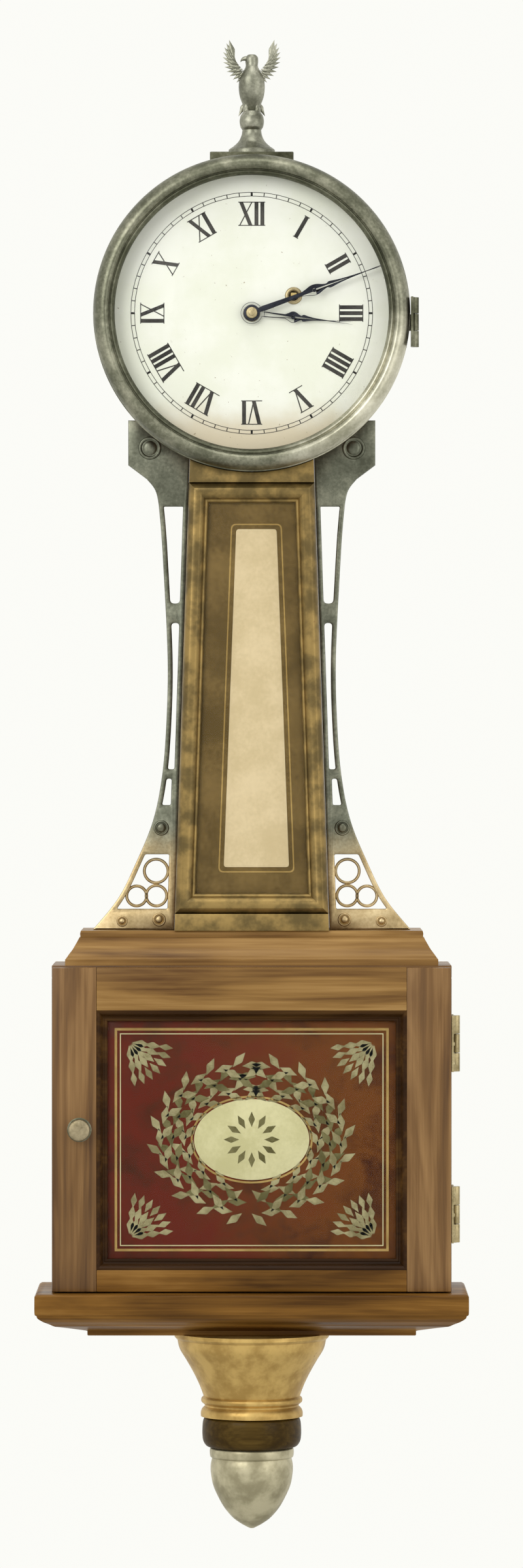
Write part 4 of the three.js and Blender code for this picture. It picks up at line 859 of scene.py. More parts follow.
def makeCamera():
    # The dial's centre lies on the pixel named as the centre
    wide, high = view["frame"]
    x, y = view["centre"]
    target = Vector(((wide / 2 - x) * view["pixel"], -view["planeDepth"], (y - high / 2) * view["pixel"]))
    azimuth, elevation = math.radians(view["azimuth"]), math.radians(view["elevation"])
    back = Vector((math.sin(azimuth) * math.cos(elevation), -math.cos(azimuth) * math.cos(elevation),
                   math.sin(elevation)))
    camera = linked("camera", bpy.data.cameras.new("camera"))
    camera.data.sensor_width = view["sensor"]
    camera.data.lens = view["sensor"] * view["distance"] / (high * view["pixel"])
    camera.data.clip_start = view["clip"] * mm
    camera.location = (target + back * view["distance"]) * mm
    camera.rotation_euler = (-back).to_track_quat("-Z", "Y").to_euler()
    bpy.context.scene.camera = camera


# Places and sizes in metres, power in watts
lamps = {
    "keyLamp": ((-1.5, -2.4, 0.9), (1.6, 1.6), 34),
    "fillLamp": ((1.9, -1.9, 0.1), (1.4, 1.8), 13),
    "topLamp": ((0.1, -0.7, 1.7), (1.2, 0.8), 9),
}
lampAim = Vector((0, 0, -0.3))


def makeLamps():
    for name, (place, size, power) in lamps.items():
        data = bpy.data.lights.new(name, "AREA")
        data.shape = "RECTANGLE"
        data.size, data.size_y = size
        data.energy = power
        lamp = linked(name, data)
        lamp.location = place
        lamp.rotation_euler = (lampAim - Vector(place)).to_track_quat("-Z", "Y").to_euler()


# The floor's half width and place in metres
room = {"seen": (0.97, 0.97, 0.93), "light": (1.0, 1.0, 0.98), "strength": 0.55,
        "floorHalf": 1.1, "floorPlace": (0, -0.1, -1.35)}


def makeWorld():
    # A pale background shows directly, in metal and through glass, and a weaker light falls on the clock
    world = bpy.data.worlds.new("studio")
    bpy.context.scene.world = world
    world.use_nodes = True
    web = Web(world.node_tree)
    web.tree.nodes.clear()
    direct = web.node("ShaderNodeLightPath", output="Is Camera Ray")
    outputs = direct.socket.node.outputs
    glossy, through = Wire(web, outputs["Is Glossy Ray"]), Wire(web, outputs["Is Transmission Ray"])
    seen = direct.larger(glossy).larger(through)
    shown = web.node("ShaderNodeBackground", None, {"Color": fourfold(room["seen"]), "Strength": 1.0})
    ambient = web.node("ShaderNodeBackground", None, {
        "Color": fourfold(room["light"]), "Strength": room["strength"],
    })
    both = web.node("ShaderNodeMixShader", None, {0: seen, 1: ambient, 2: shown})
    web.node("ShaderNodeOutputWorld", None, {"Surface": both})


def makeFloor():
    form = bmesh.new()
    bmesh.ops.create_grid(form, x_segments=1, y_segments=1, size=room["floorHalf"])
    form.transform(Matrix.Translation(room["floorPlace"]))
    floor = pieceFrom("floor", form, "floor", outward=False)


makeCamera()
makeWorld()
makeFloor()
makeLamps()
bpy.context.scene.view_settings.view_transform = "Standard"
print("camera, lamps and floor in place")


# Bezel, glass, dial and hands

bezelRing = {
    "opening": 88.0, "seat": 92.0, "lip": 11.5, "mouth": 13.0, "segments": 160,
    # In from the rim, and the height over the back
    "face": [
        [(0.0, 3.6), (1.0, 4.6), (1.2, 6.2)],
        [(1.2, 6.2), (0.5, 10.2), (1.9, 14.4), (4.6, 17.3), (7.6, 18.2), (9.7, 16.9), (10.5, 15.2)],
        [(10.7, 15.2), (11.6, 15.9), (12.7, 15.3), (13.6, 13.8)],
    ],
}


def makeBezel():
    back, rim = depths("bezel")[0], span("bezel")[1].x
    opening, seat, lip = bezelRing["opening"], bezelRing["seat"], back + bezelRing["lip"]
    face = [(rim - across, depth) for across, depth in profileOf(bezelRing["face"], back)]
    profile = [(seat, back), (rim, back), *face, (opening, back + bezelRing["mouth"]), (opening, lip),
               (seat, lip), (seat, back)]
    ring = turned("bezel_ring", profile, "bezelBrass", segments=bezelRing["segments"])
    keep(ring, "bezel", "dark_brass", "bezel")


dome = {"rim": 91.7, "edge": 86.0, "rise": 10.5, "thickness": 2.0, "steps": 18, "creases": 50.0}


def makeBezelGlass():
    back = depths("bezel_glass")[0]
    front, edge = back + dome["thickness"], dome["edge"]
    arc = [edge * step / dome["steps"] for step in range(dome["steps"] + 1)]
    bulge = [(r, dome["rise"] * (1 - (r / edge) ** 2)) for r in arc]
    profile = [(r, back + up) for r, up in bulge] + [(dome["rim"], back), (dome["rim"], front)]
    profile += [(r, front + up) for r, up in reversed(bulge)]
    glass = turned("bezel_dome_glass", profile, "glass", sharpOver=dome["creases"])
    keep(glass, "bezel", "clear_glass", "bezel_glass")


numerals = {
    "names": ["XII", "I", "II", "III", "IIII", "V", "VI", "VII", "VIII", "IX", "X", "XI"],
    "radius": 64.0, "height": 15.0, "thick": 2.5, "thin": 0.75, "gap": 1.3, "serif": 0.55, "vFoot": 0.6,
    "paint": 0.12, "layer": 0.1, "layers": 3, "widths": {"I": 2.5, "V": 8.6, "X": 8.6},
}
dialFront = depths("dial")[1]


def stroke(low, high, half):
    # A slanting bar from one place on the foot line to another on the head line
    top = numerals["height"] / 2
    return [(low - half, -top), (low + half, -top), (high + half, top), (high - half, top)]


def strokes(letter):
    thick, thin, wide = numerals["thick"] / 2, numerals["thin"] / 2, numerals["widths"][letter] / 2
    if letter == "I":
        return [stroke(0, 0, thick)]
    if letter == "V":
        return [stroke(numerals["vFoot"], thick - wide, thick), stroke(numerals["vFoot"], wide - thin, thin)]
    return [stroke(wide - thick, thick - wide, thick), stroke(thin - wide, wide - thin, thin)]


def numeralOutlines(word):
    # Serifs along the foot and the head, then the strokes of each letter from left to right
    widths, gap, top, serif = numerals["widths"], numerals["gap"], numerals["height"] / 2, numerals["serif"]
    half = sum(widths[letter] for letter in word) / 2 + gap * (len(word) - 1) / 2
    outlines = [rectangle(half + serif, z - serif / 2, z + serif / 2) for z in (-top, top)]
    x = -half
    for letter in word:
        outlines += [[(px + x + widths[letter] / 2, pz) for px, pz in bar] for bar in strokes(letter)]
        x += widths[letter] + gap
    return outlines


def makeNumerals():
    # Strokes that cross lie at slightly different heights
    form = bmesh.new()
    for hour, word in enumerate(numerals["names"]):
        angle = fullTurn * hour / 12
        sine, cosine = math.sin(angle), math.cos(angle)
        for layer, outline in enumerate(numeralOutlines(word)):
            lift = numerals["paint"] * (1 + numerals["layer"] * (layer % numerals["layers"]))
            rings = []
            for depth in (dialFront - sunk, dialFront + lift):
                spots = [(x, numerals["radius"] + z) for x, z in outline]
                rings.append([corner(form, x * cosine + out * sine, depth, out * cosine - x * sine)
                              for x, out in spots])
            skin(form, rings, True)
    keep(pieceFrom("dial_numerals", form, "numeral"), "case", "dial_paint")


minuteRing = {
    "radius": 76.6, "length": 2.4, "thickness": 0.24, "paint": 0.12, "lineHalf": 0.18, "segments": 160,
    # Number and width
    "marks": {"dial_minute_marks": (60, 0.55), "dial_hour_marks": (12, 1.3)},
}


def makeMinuteRing():
    radius, length = minuteRing["radius"], minuteRing["length"]
    for name, (count, width) in minuteRing["marks"].items():
        row = grown(name, marks, bare, count=count, width=width * mm, radius=radius * mm, length=length * mm,
                    thickness=minuteRing["thickness"] * mm, stand=(quarterTurn, 0, 0),
                    place=(0, -dialFront * mm, 0), finish=looks["numeral"])
        keep(row, "case", "dial_paint")
    form = bmesh.new()
    back, front, half = dialFront - sunk, dialFront + minuteRing["paint"], minuteRing["lineHalf"]
    for middle in (radius - length / 2, radius + length / 2):
        inner, outer = middle - half, middle + half
        line = [(inner, back), (outer, back), (outer, front), (inner, front), (inner, back)]
        addTurning(form, line, (0, 0, 0), True, minuteRing["segments"])
    keep(pieceFrom("dial_minute_lines", form, "numeral"), "case", "dial_paint")


windingHole = {
    "x": 27.004, "z": 11.241,
    # Radius, and height over the dial
    "eyelet": [
        [(3.3, -1.4)],
        [(3.3, 0.3), (4.0, 0.7), (5.0, 0.5), (5.6, 0.0)],
        [(5.6, -sunk), (4.2, -sunk)],
        [(4.2, -1.4), (3.3, -1.4)],
    ],
}


def makeEyelet():
    profile = profileOf(windingHole["eyelet"], dialFront)
    at = (windingHole["x"], 0, windingHole["z"])
    keep(turned("winding_eyelet", profile, "hingeBrass", at, segments=48), "case", "brass")


handForm = {
    # Half breadth, and place along the hand
    "root": [(0.024, 0.06), (0.02, 0.26), (0.016, 0.48)],
    "leaf": [(0.016, 0.48), (0.03, 0.525), (0.048, 0.575), (0.046, 0.625), (0.026, 0.675), (0.016, 0.715),
             (0.028, 0.745), (0.018, 0.81), (0.008, 0.9), (0.003, 1.0)],
    "eye": (0.021, 0.595), "thickness": 1.1, "rounding": 0.28, "hubSteps": 36,
}
handSizes = {
    "hour_hand": {"length": 45.0, "breadth": 1.5, "hub": 7.0, "bore": 4.5, "angle": 95.8, "body": "hour"},
    "minute_hand": {"length": 72.0, "breadth": 0.9, "hub": 5.2, "bore": 2.9, "angle": 70.0, "body": "minute"},
}
# Radius, and height over the back
handNut = [
    [(0, 0.0), (3.6, 0.0)],
    [(3.6, 1.0), (3.2, 1.5), (2.1, 1.7), (2.0, 2.0), (1.4, 2.3), (0, 2.4)],
]


def makeHands():
    for node, size in handSizes.items():
        length, breadth, hub = size["length"], size["length"] * size["breadth"], size["hub"]
        right = [(half * breadth, along * length)
                 for half, along in flow(handForm["root"], 3) + flow(handForm["leaf"], 4)]
        root = math.asin(right[0][0] / hub)
        steps = handForm["hubSteps"]
        turns = [root + (fullTurn - 2 * root) * i / steps for i in range(steps + 1)]
        boss = [(hub * math.sin(a), hub * math.cos(a)) for a in turns]
        right = [point for point in right if point[1] > hub]
        left = [(-x, z) for x, z in reversed(right)]
        eyeRadius, eyeAlong = handForm["eye"]
        holes = [circle(size["bore"], 32), circle(eyeRadius * breadth, 24, 0.0, eyeAlong * length)]
        hand = flatForm("clock_" + node, [boss + left + right, *holes], depths(node)[0],
                        handForm["thickness"], "blued", handForm["rounding"], math.radians(size["angle"]))
        keep(hand, size["body"], "blued_steel", node)
    nut = turned("hand_dome_nut", profileOf(handNut, depths("hand_nut")[0]), "hingeBrass", segments=48)
    keep(nut, "minute", "brass", "hand_nut")


def dress(node, look):
    # A CAD node whose own form shows takes its finish here
    piece = frame["nodes"][node]
    piece.data.materials.clear()
    piece.data.materials.append(looks[look])


makeBezel()
makeBezelGlass()
makeNumerals()
makeMinuteRing()
makeEyelet()
makeHands()
dress("dial", "dial")
print("bezel, dial and hands made")


# Head, throat and side arms

headRing = {"outer": 98.0, "inner": 84.0, "mouthHalf": 34.0, "outerEased": 0.8, "innerEased": 0.5,
            "segments": 120}


def makeHead():
    # A turned hoop, open below where the throat's well enters it
    back, front = depths("head_ring")
    outer, inner, segments = headRing["outer"], headRing["inner"], headRing["segments"]
    outerEased, innerEased = headRing["outerEased"], headRing["innerEased"]
    profile = [(inner, back), (outer, back), (outer, front - outerEased), (outer - outerEased, front),
               (inner + innerEased, front), (inner, front - innerEased)]
    form = bmesh.new()
    rings = []
    for i in range(segments + 1):
        ring = []
        for radius, depth in profile:
            mouth = math.asin(headRing["mouthHalf"] / radius)
            angle = math.pi + mouth + (fullTurn - 2 * mouth) * i / segments
            ring.append(corner(form, radius * math.sin(angle), depth, radius * math.cos(angle)))
        rings.append(ring)
    skin(form, rings, True)
    keep(pieceFrom("head_hoop", form, "woodAcross"), "case", "mahogany", "head_ring")


throat = {
    "halfAtHead": 40.0, "halfAtFoot": 50.0, "headZ": -93.0, "footZ": -398.0, "stile": 13.0,
    "windowTop": -122.0, "windowBottom": -374.0, "bezelClear": 102.4, "boardDrop": 1.6, "boardInset": 0.2,
    "boardEased": 0.5, "arcZ": -95.0, "arcSteps": 24, "rebate": 3.2, "rebateDrop": 6.4,
    # Out from the window, and the drop behind the front
    "mould": [(0.0, 6.3), (0.5, 4.6), (1.7, 3.8), (2.2, 4.0), (3.0, 2.4), (5.0, 0.7), (7.4, 0.0), (9.8, 0.7),
              (11.9, 2.8), (12.8, 5.6), (13.0, 8.4)],
}


def throatHalf(z):
    share = (throat["headZ"] - z) / (throat["headZ"] - throat["footZ"])
    return throat["halfAtHead"] + share * (throat["halfAtFoot"] - throat["halfAtHead"])


def throatQuad(top, bottom, inset):
    return [(inset - throatHalf(top), top), (throatHalf(top) - inset, top),
            (throatHalf(bottom) - inset, bottom), (inset - throatHalf(bottom), bottom)]


def arcUnder(radius, start, end, steps):
    # Points on the lower half of a circle about the dial's centre, from one x to another
    across = [start + (end - start) * i / steps for i in range(steps + 1)]
    return [(x, -math.sqrt(radius ** 2 - x ** 2)) for x in across]


def makeThroat():
    back, front = depths("throat_frame")
    stile, inset, rebate = throat["stile"], throat["boardInset"], throat["rebate"]
    window = throatQuad(throat["windowTop"], throat["windowBottom"], stile)
    step = front - throat["rebateDrop"]
    face = profileOf([throat["mould"]], front, -1)
    section = [*face, (stile, back), (rebate, back), (rebate, step), (0.0, step)]
    mould = framed("throat_mouldings", window, section, "throatGilt")
    keep(mould, "case", "gold_wood", "throat_frame")
    # Boards fill from the mouldings up to the bezel and down to the cap
    edge, top = throatHalf(throat["arcZ"]) - inset, throat["windowTop"] + stile
    topBoard = arcUnder(throat["bezelClear"], edge, -edge, throat["arcSteps"])
    topBoard += [(inset - throatHalf(top), top), (throatHalf(top) - inset, top)]
    footBoard = throatQuad(throat["windowBottom"] - stile, throat["footZ"], inset)
    thickness = front - throat["boardDrop"] - back
    for name, outline in (("throat_top_board", topBoard), ("throat_foot_board", footBoard)):
        board = flatForm(name, [outline], back, thickness, "throatGilt", throat["boardEased"])
        keep(board, "case", "gold_wood")
    for side in ("left", "right"):
        node = "throat_side_" + side
        keep(easedCopy("throat_cheek_" + side, node, "woodUp", 0.4), "case", "mahogany", node)


throatPane = {
    "cover": 2.5, "paint": 0.9, "paintRounding": 0.1, "glassGap": 0.4, "glassRounding": 0.15,
    # The cream panel is moved to the right, so the wider dark border on its left is a painted shadow of the
    # left stile
    "panelTop": -139.0, "panelBottom": -357.0, "halfTop": 13.0, "halfBottom": 21.0, "shadowShift": 3.0,
    "corners": 2.0, "line": 0.9, "lineOut": 2.6, "lineCorners": (2.8, 3.4),
}


def makeThroatGlass():
    back, front = depths("throat_glass")
    paintFront, cover = back + throatPane["paint"], throatPane["cover"]
    outline = throatQuad(throat["windowTop"] + cover, throat["windowBottom"] - cover, throat["stile"] - cover)
    ground = flatForm("throat_painted_border", [outline], back, throatPane["paint"], "throatBorder",
                      throatPane["paintRounding"])
    keep(ground, "case", "throat_glass", "throat_glass")
    shadowShift, halfTop, halfBottom = throatPane["shadowShift"], throatPane["halfTop"], throatPane["halfBottom"]
    top, bottom = throatPane["panelTop"], throatPane["panelBottom"]
    # Moved to the right, the panel leaves a wider dark border on the left as a painted shadow
    panel = [(shadowShift - halfTop, top), (shadowShift + halfTop, top),
             (shadowShift + halfBottom, bottom), (shadowShift - halfBottom, bottom)]
    rounded = roundedCorners(panel, throatPane["corners"])
    keep(painted("throat_cream_panel", [rounded], paintFront, "throatCream"), "case", "throat_glass")
    near, far = throatPane["lineOut"], throatPane["lineOut"] + throatPane["line"]
    innerCorners, outerCorners = throatPane["lineCorners"]
    line = [roundedCorners(offsetCorners(panel, far), outerCorners),
            roundedCorners(offsetCorners(panel, near), innerCorners)]
    keep(painted("throat_gilt_line", line, paintFront, "lineGilt"), "case", "gilt")
    glassBack = paintFront + throatPane["glassGap"]
    clear = flatForm("throat_clear_glass", [outline], glassBack, front - glassBack, "glass",
                     throatPane["glassRounding"])
    keep(clear, "case", "clear_glass")


arm = {
    "back": 36.0, "thickness": 8.0, "bar": 3.2, "gap": 0.3, "rounding": 1.0,
    "headClear": 98.4, "headZ": -90.0, "headSteps": 12,
    "shoulderHalf": 80.0, "shoulderTop": -68.0, "shoulderFoot": -97.0,
    "neckZ": -106.0, "neckHalf": 68.0, "waistHalf": 54.5, "footHalf": 103.0,
    "windowCorners": 3.0, "windowSharp": 35.0, "bossSegments": 32, "scrollSegments": 40,
    # Share of the way down, of the neck's width and of the foot's width over the waist
    "edgeShares": [(0, 1, 0), (0.03, 0.55, 0), (0.09, 0.36, 0), (0.2, 0.2, 0), (0.4, 0, 0), (0.55, 0, 0.02),
                   (0.665, 0, 0.08), (0.76, 0, 0.2), (0.85, 0, 0.42), (0.93, 0, 0.66), (1, 0, 1)],
    # Share of the way down from and to, and the inner bar's width in bars
    "windowShares": [(0.164, 0.34, 1), (0.355, 0.576, 1), (0.6, 0.657, 1.5), (0.784, 0.927, 1.5)],
    # Place across, height and radius
    "bosses": [(66.0, -86.0, 7.5), (58.6, -332.0, 5.0), (60.0, -391.5, 4.4), (84.0, -392.5, 3.6)],
    "scrolls": [(62.0, -360.0, 8.6), (61.8, -376.0, 7.6), (74.6, -376.2, 7.4)],
    # A cast button with a ring round it: share of its radius, and height over the arm's face
    "bossRun": [(1, 0.0), (0.93, 0.7), (0.78, 0.8), (0.7, 0.25), (0.62, 0.3), (0.42, 1.3), (0, 1.7)],
    "scrollWidth": 1.9, "scrollHalf": 2.6, "scrollEased": 0.6,
}


def armEdge():
    # The outer edge of the right arm, from its neck to its foot
    waist, height = arm["waistHalf"], arm["neckZ"] - throat["footZ"]
    moreAtNeck, moreAtFoot = arm["neckHalf"] - waist, arm["footHalf"] - waist
    return flow([(waist + neck * moreAtNeck + foot * moreAtFoot, arm["neckZ"] - down * height)
                 for down, neck, foot in arm["edgeShares"]], 10)


def armWindow(edge, fromShare, toShare, innerBars):
    inner, outer = [], []
    last = len(edge) - 1
    for i in range(round(fromShare * last), round(toShare * last) + 1):
        x, z = edge[i]
        ahead, behind = Vector(edge[min(i + 1, last)]), Vector(edge[max(i - 1, 0)])
        way = (ahead - behind).normalized()
        outer.append((x - arm["bar"] / abs(way.y), z))
        inner.append((throatHalf(z) + arm["gap"] + innerBars * arm["bar"], z))
    return roundedCorners(outer + inner[::-1], arm["windowCorners"], arm["windowSharp"])


def bossProfile(radius):
    return [(0, -1.0), (radius, -1.0)] + flow([(radius * share, up) for share, up in arm["bossRun"]], 3)


def scrollProfile(radius):
    # A flat round ring that fills the foot's window
    half, eased = arm["scrollHalf"], arm["scrollEased"]
    return ringSection(radius - arm["scrollWidth"], radius, -half, half, eased, eased)


def makeArms():
    edge, clear, foot, gap = armEdge(), arm["headClear"], throat["footZ"], arm["gap"]
    reach = math.sqrt(clear ** 2 - arm["shoulderTop"] ** 2)
    outline = arcUnder(clear, throatHalf(arm["headZ"]) + gap, reach, arm["headSteps"])
    outline += [(arm["shoulderHalf"], arm["shoulderTop"]), (arm["shoulderHalf"], arm["shoulderFoot"])]
    outline += edge + [(throatHalf(foot) + gap, foot)]
    outlines = [outline] + [armWindow(edge, *window) for window in arm["windowShares"]]
    back, thickness = arm["back"], arm["thickness"]
    for side, name in ((1, "right"), (-1, "left")):
        flipped = [[(side * x, z) for x, z in points] for points in outlines]
        piece = flatForm("pierced_arm_" + name, flipped, back, thickness, "armBrass", arm["rounding"])
        keep(piece, "case", "brass", "side_arm_" + name)
        form = bmesh.new()
        for x, z, radius in arm["bosses"]:
            addTurning(form, bossProfile(radius), (side * x, back + thickness, z), True, arm["bossSegments"])
        for x, z, radius in arm["scrolls"]:
            middle = (side * x, back + thickness / 2, z)
            addTurning(form, scrollProfile(radius), middle, True, arm["scrollSegments"])
        keep(pieceFrom("arm_bosses_" + name, form, "armBrass"), "case", "brass")


makeHead()
makeThroat()
makeThroatGlass()
makeArms()
print("head, throat and arms made")


# Box, its door and the mouldings

cap = {
    "half": 110.0, "front": 68.0, "wellHalf": 44.0, "wellDepth": 60.0, "notchHalf": 50.3, "notchDepth": 10.0,
    "spare": 3.0, "overlap": 0.01,
    # How far it stands out, and the height over its foot
    "runs": [
        [(10.0, 0.0), (10.0, 3.8)],
        [(9.3, 4.4), (7.8, 6.8), (5.5, 9.8), (3.6, 13.0), (1.9, 16.0), (1.1, 17.6)],
        [(0.2, 18.0), (0.5, 19.2), (0.5, 20.6), (0.1, 22.0)],
    ],
}


def makeCap():
    low, high = span("cap_moulding")
    # The cap's ogee is mahogany with painted light on it
    moulding = mitred("cap_ogee", profileOf(cap["runs"], low.z), cap["half"], cap["front"], "paintedLightWood")
    spare, wellHalf = cap["spare"], cap["wellHalf"]
    notchHalf, notchDepth = cap["notchHalf"], cap["notchDepth"]
    foot, top = low.z - spare, high.z + spare
    well = blockTool((-wellHalf, notchDepth - cap["overlap"], foot), (wellHalf, cap["wellDepth"], top))
    notch = blockTool((-notchHalf, -spare, foot), (notchHalf, notchDepth, top))
    keep(carved(moulding, [well, notch]), "case", "mahogany", "cap_moulding")


boxWalls = {
    "box_lid": ("box_top", "woodAcross", "mahogany", 0.5),
    "box_cheek_left": ("box_side_left", "woodUp", "mahogany", 0.5),
    "box_cheek_right": ("box_side_right", "woodUp", "mahogany", 0.5),
    "box_floor": ("box_bottom", "pine", "mahogany", 0.5),
    "case_backboard": ("backboard", "pine", "pine", 0.7),
}


def makeBoxWalls():
    for name, (node, look, slot, eased) in boxWalls.items():
        keep(easedCopy(name, node, look, eased), "case", slot, node)


base = {
    "half": 128.5, "front": 92.3,
    # How far it stands out, and the drop below its top
    "runs": [
        [(5.6, 0.0)],
        [(8.6, 0.0), (10.2, 1.0), (10.5, 2.6), (10.5, 11.6), (10.0, 13.4)],
        [(9.2, 13.8), (8.4, 15.6), (5.0, 18.0), (1.6, 19.6), (-1.0, 21.0)],
        [(-2.4, 21.6), (-8.6, 22.8), (-15.6, 24.3), (-21.4, 25.6)],
        [(-22.6, 26.0), (-22.6, 28.5)],
        [(-23.1, 29.0)],
    ],
}


def makeBase():
    levels = profileOf(base["runs"], span("base_moulding")[1].z, -1)
    # The base moulding is mahogany with painted shade on it
    moulding = mitred("base_ogee", levels[::-1], base["half"], base["front"], "paintedShadeWood")
    keep(moulding, "case", "mahogany", "base_moulding")


door = {
    "windowHalf": 92.5, "windowTop": -455.5, "windowBottom": -608.0, "stileInner": 99.5, "mould": 7.0,
    "rebate": 4.2, "lipBack": 86.0, "bevel": 0.7, "railSetBack": 0.05,
    # Out from the window, and the depth
    "ogee": [(0.0, 86.5), (0.4, 87.6), (1.6, 88.0), (2.2, 87.6), (3.2, 88.4), (4.6, 90.6), (6.0, 91.7),
             (7.0, 91.9)],
}


def makeDoorFrame():
    low, high = span("door_frame")
    back, front = depths("door_frame")
    half, inner, mould = high.x, door["stileInner"], door["mould"]
    stiles = [((left, back, low.z), (right, front, high.z))
              for left, right in ((-half, -inner), (inner, half))]
    keep(easedBlocks("door_stiles", stiles, "woodUp", door["bevel"]), "door", "mahogany", "door_frame")
    # The top rail is mahogany with painted light, and the bottom rail is mahogany with painted shade
    rails = {
        "top": ("paintedLightWood", door["windowTop"] + mould, high.z),
        "bottom": ("paintedShadeWood", low.z, door["windowBottom"] - mould),
    }
    for name, (look, foot, head) in rails.items():
        rail = [((-inner, back, foot), (inner, front - door["railSetBack"], head))]
        keep(easedBlocks("door_rail_" + name, rail, look, door["bevel"]), "door", "mahogany")
    window = rectangle(door["windowHalf"], door["windowTop"], door["windowBottom"])
    lip, rebate = door["lipBack"], door["rebate"]
    profile = [(0.0, lip), *flow(door["ogee"]), (mould, back), (rebate, back), (rebate, lip)]
    # The ogee round the window is ebonised, and painted shade darkens it further
    keep(framed("door_ogee", window, profile, "ebonisedShadedWood"), "door", "mahogany")


tablet = {
    "paint": 1.2, "paintRounding": 0.1, "glassGap": 0.5, "glassRounding": 0.15,
    "sightHalf": 92.0, "sightTop": -456.0, "sightBottom": -607.5,
    "borders": [(4.0, 1.6, "lineGilt"), (7.4, 0.6, "tabletCream")],
    "middle": (0.0, -531.7), "oval": (37.0, 26.0), "ovalLine": (1.0, 2.2), "ovalPoints": 72,
    "leafLength": 12.5, "leafWidth": 4.8,
    "petals": 12, "petalRing": 8.0, "petalSize": 0.8,
}


def makeTablet():
    low, high = span("door_tablet")
    back, front = depths("door_tablet")
    paint, sheet = tablet["paint"], rectangle(high.x, high.z, low.z)
    paintFront = back + paint
    ground = flatForm("tablet_ground", [sheet], back, paint, "tabletGround", tablet["paintRounding"])
    keep(ground, "door", "tablet_glass", "door_tablet")
    sight = rectangle(tablet["sightHalf"], tablet["sightTop"], tablet["sightBottom"])
    for i, (inset, width, look) in enumerate(tablet["borders"]):
        border = [offsetCorners(sight, -inset), offsetCorners(sight, -inset - width)]
        keep(painted(f"tablet_border_line_{i + 1}", border, paintFront, look), "door", "tablet_glass")
    keep(painted("tablet_oval", [tabletOval(0.0)], paintFront, "tabletCream"), "door", "tablet_glass")
    near, far = tablet["ovalLine"]
    ovalLine = painted("tablet_oval_line", [tabletOval(far), tabletOval(near)], paintFront, "lineGilt")
    keep(ovalLine, "door", "tablet_glass")
    leaf = leafTemplate("leafShape", tablet["leafLength"], tablet["leafWidth"], "tabletLeaf")
    makeWreaths(leaf, paintFront)
    makeRosette(leaf, paintFront)
    makeFans(leaf, paintFront, sight)
    bpy.data.objects.remove(leaf)
    glassBack = paintFront + tablet["glassGap"]
    clear = flatForm("tablet_clear_glass", [sheet], glassBack, front - glassBack, "glass",
                     tablet["glassRounding"])
    keep(clear, "door", "clear_glass")


def tabletOval(out):
    x, z = tablet["middle"]
    wide, tall = tablet["oval"]
    return [(x + across, z + up) for across, up in ellipse(wide + out, tall + out, tablet["ovalPoints"])]


wreaths = {"half": (43.5, 32.5), "lean": 0.7, "leaves": 48, "moreLeaves": 6,
           "rings": [(0.0, 0.0, "tabletPale"), (8.0, 0.05, "tabletLeaf"), (15.0, 0.1, "tabletPale")]}


def makeWreaths(leaf, paintFront):
    # Each ring is wider than the last, and its leaves lie over it
    x, z = tablet["middle"]
    wide, tall = wreaths["half"]
    for i, (grow, lift, look) in enumerate(wreaths["rings"]):
        leaves = grown(
            f"tablet_wreath_{i + 1}", wreath, bare, leaf=leaf, finish=looks[look],
            halfWidth=(wide + grow) * mm, halfHeight=(tall + grow) * mm, lean=wreaths["lean"],
            count=wreaths["leaves"] + wreaths["moreLeaves"] * i,
            stand=(quarterTurn, 0, 0), place=(x * mm, -(paintFront + lift) * mm, z * mm))
        keep(leaves, "door", "tablet_glass")


def makeRosette(leaf, paintFront):
    x, z = tablet["middle"]
    depth = paintFront + paintFilm["thickness"]
    petals = [((x + px, -depth, z + pz), (quarterTurn, -math.atan2(pz, px), 0), tablet["petalSize"])
              for px, pz in circle(tablet["petalRing"], tablet["petals"])]
    keep(copiesOf("tablet_rosette", leaf, petals, "tabletLeaf"), "door", "tablet_glass")


fans = {"inset": 13.0, "rows": [(2.0, 5), (10.0, 6), (19.0, 7)], "lift": 0.05, "from": 8.0, "sweep": 74.0,
        "size": 0.95, "shrink": 0.08}


def makeFans(leaf, paintFront, sight):
    # A fan of leaves in each corner, opening to the middle
    spots = []
    for cornerX, cornerZ in offsetCorners(sight, -fans["inset"]):
        sideX = -1 if cornerX > 0 else 1
        sideZ = -1 if cornerZ > tablet["middle"][1] else 1
        for row, (reach, count) in enumerate(fans["rows"]):
            depth = paintFront + fans["lift"] * row
            for i in range(count):
                lean = math.radians(fans["from"] + fans["sweep"] * i / (count - 1))
                angle = math.atan2(sideZ * math.sin(lean), sideX * math.cos(lean))
                place = (cornerX + reach * math.cos(angle), -depth, cornerZ + reach * math.sin(angle))
                spots.append((place, (quarterTurn, -angle, 0), fans["size"] - fans["shrink"] * row))
    keep(copiesOf("tablet_corner_fans", leaf, spots, "tabletPale"), "door", "tablet_glass")


latch = {
    "x": -110.5, "z": -525.0, "tongueHalf": 4.0, "tongueThickness": 2.0, "tongueEased": 0.5,
    # Radius, and height over the door's face
    "knob": [
        [(0, -12.0), (2.0, -12.0)],
        [(2.0, 0.3)],
        [(4.4, 0.3), (4.0, 1.5), (3.0, 2.4), (3.1, 3.6), (5.8, 4.8), (7.0, 6.2), (6.2, 7.6), (3.4, 8.2),
         (0, 8.3)],
    ],
    "rose": [
        [(2.6, -sunk), (7.8, -sunk)],
        [(7.8, 0.0), (7.2, 0.22), (5.2, 0.22), (4.9, 0.1), (2.6, 0.1)],
        [(2.6, -sunk)],
    ],
}


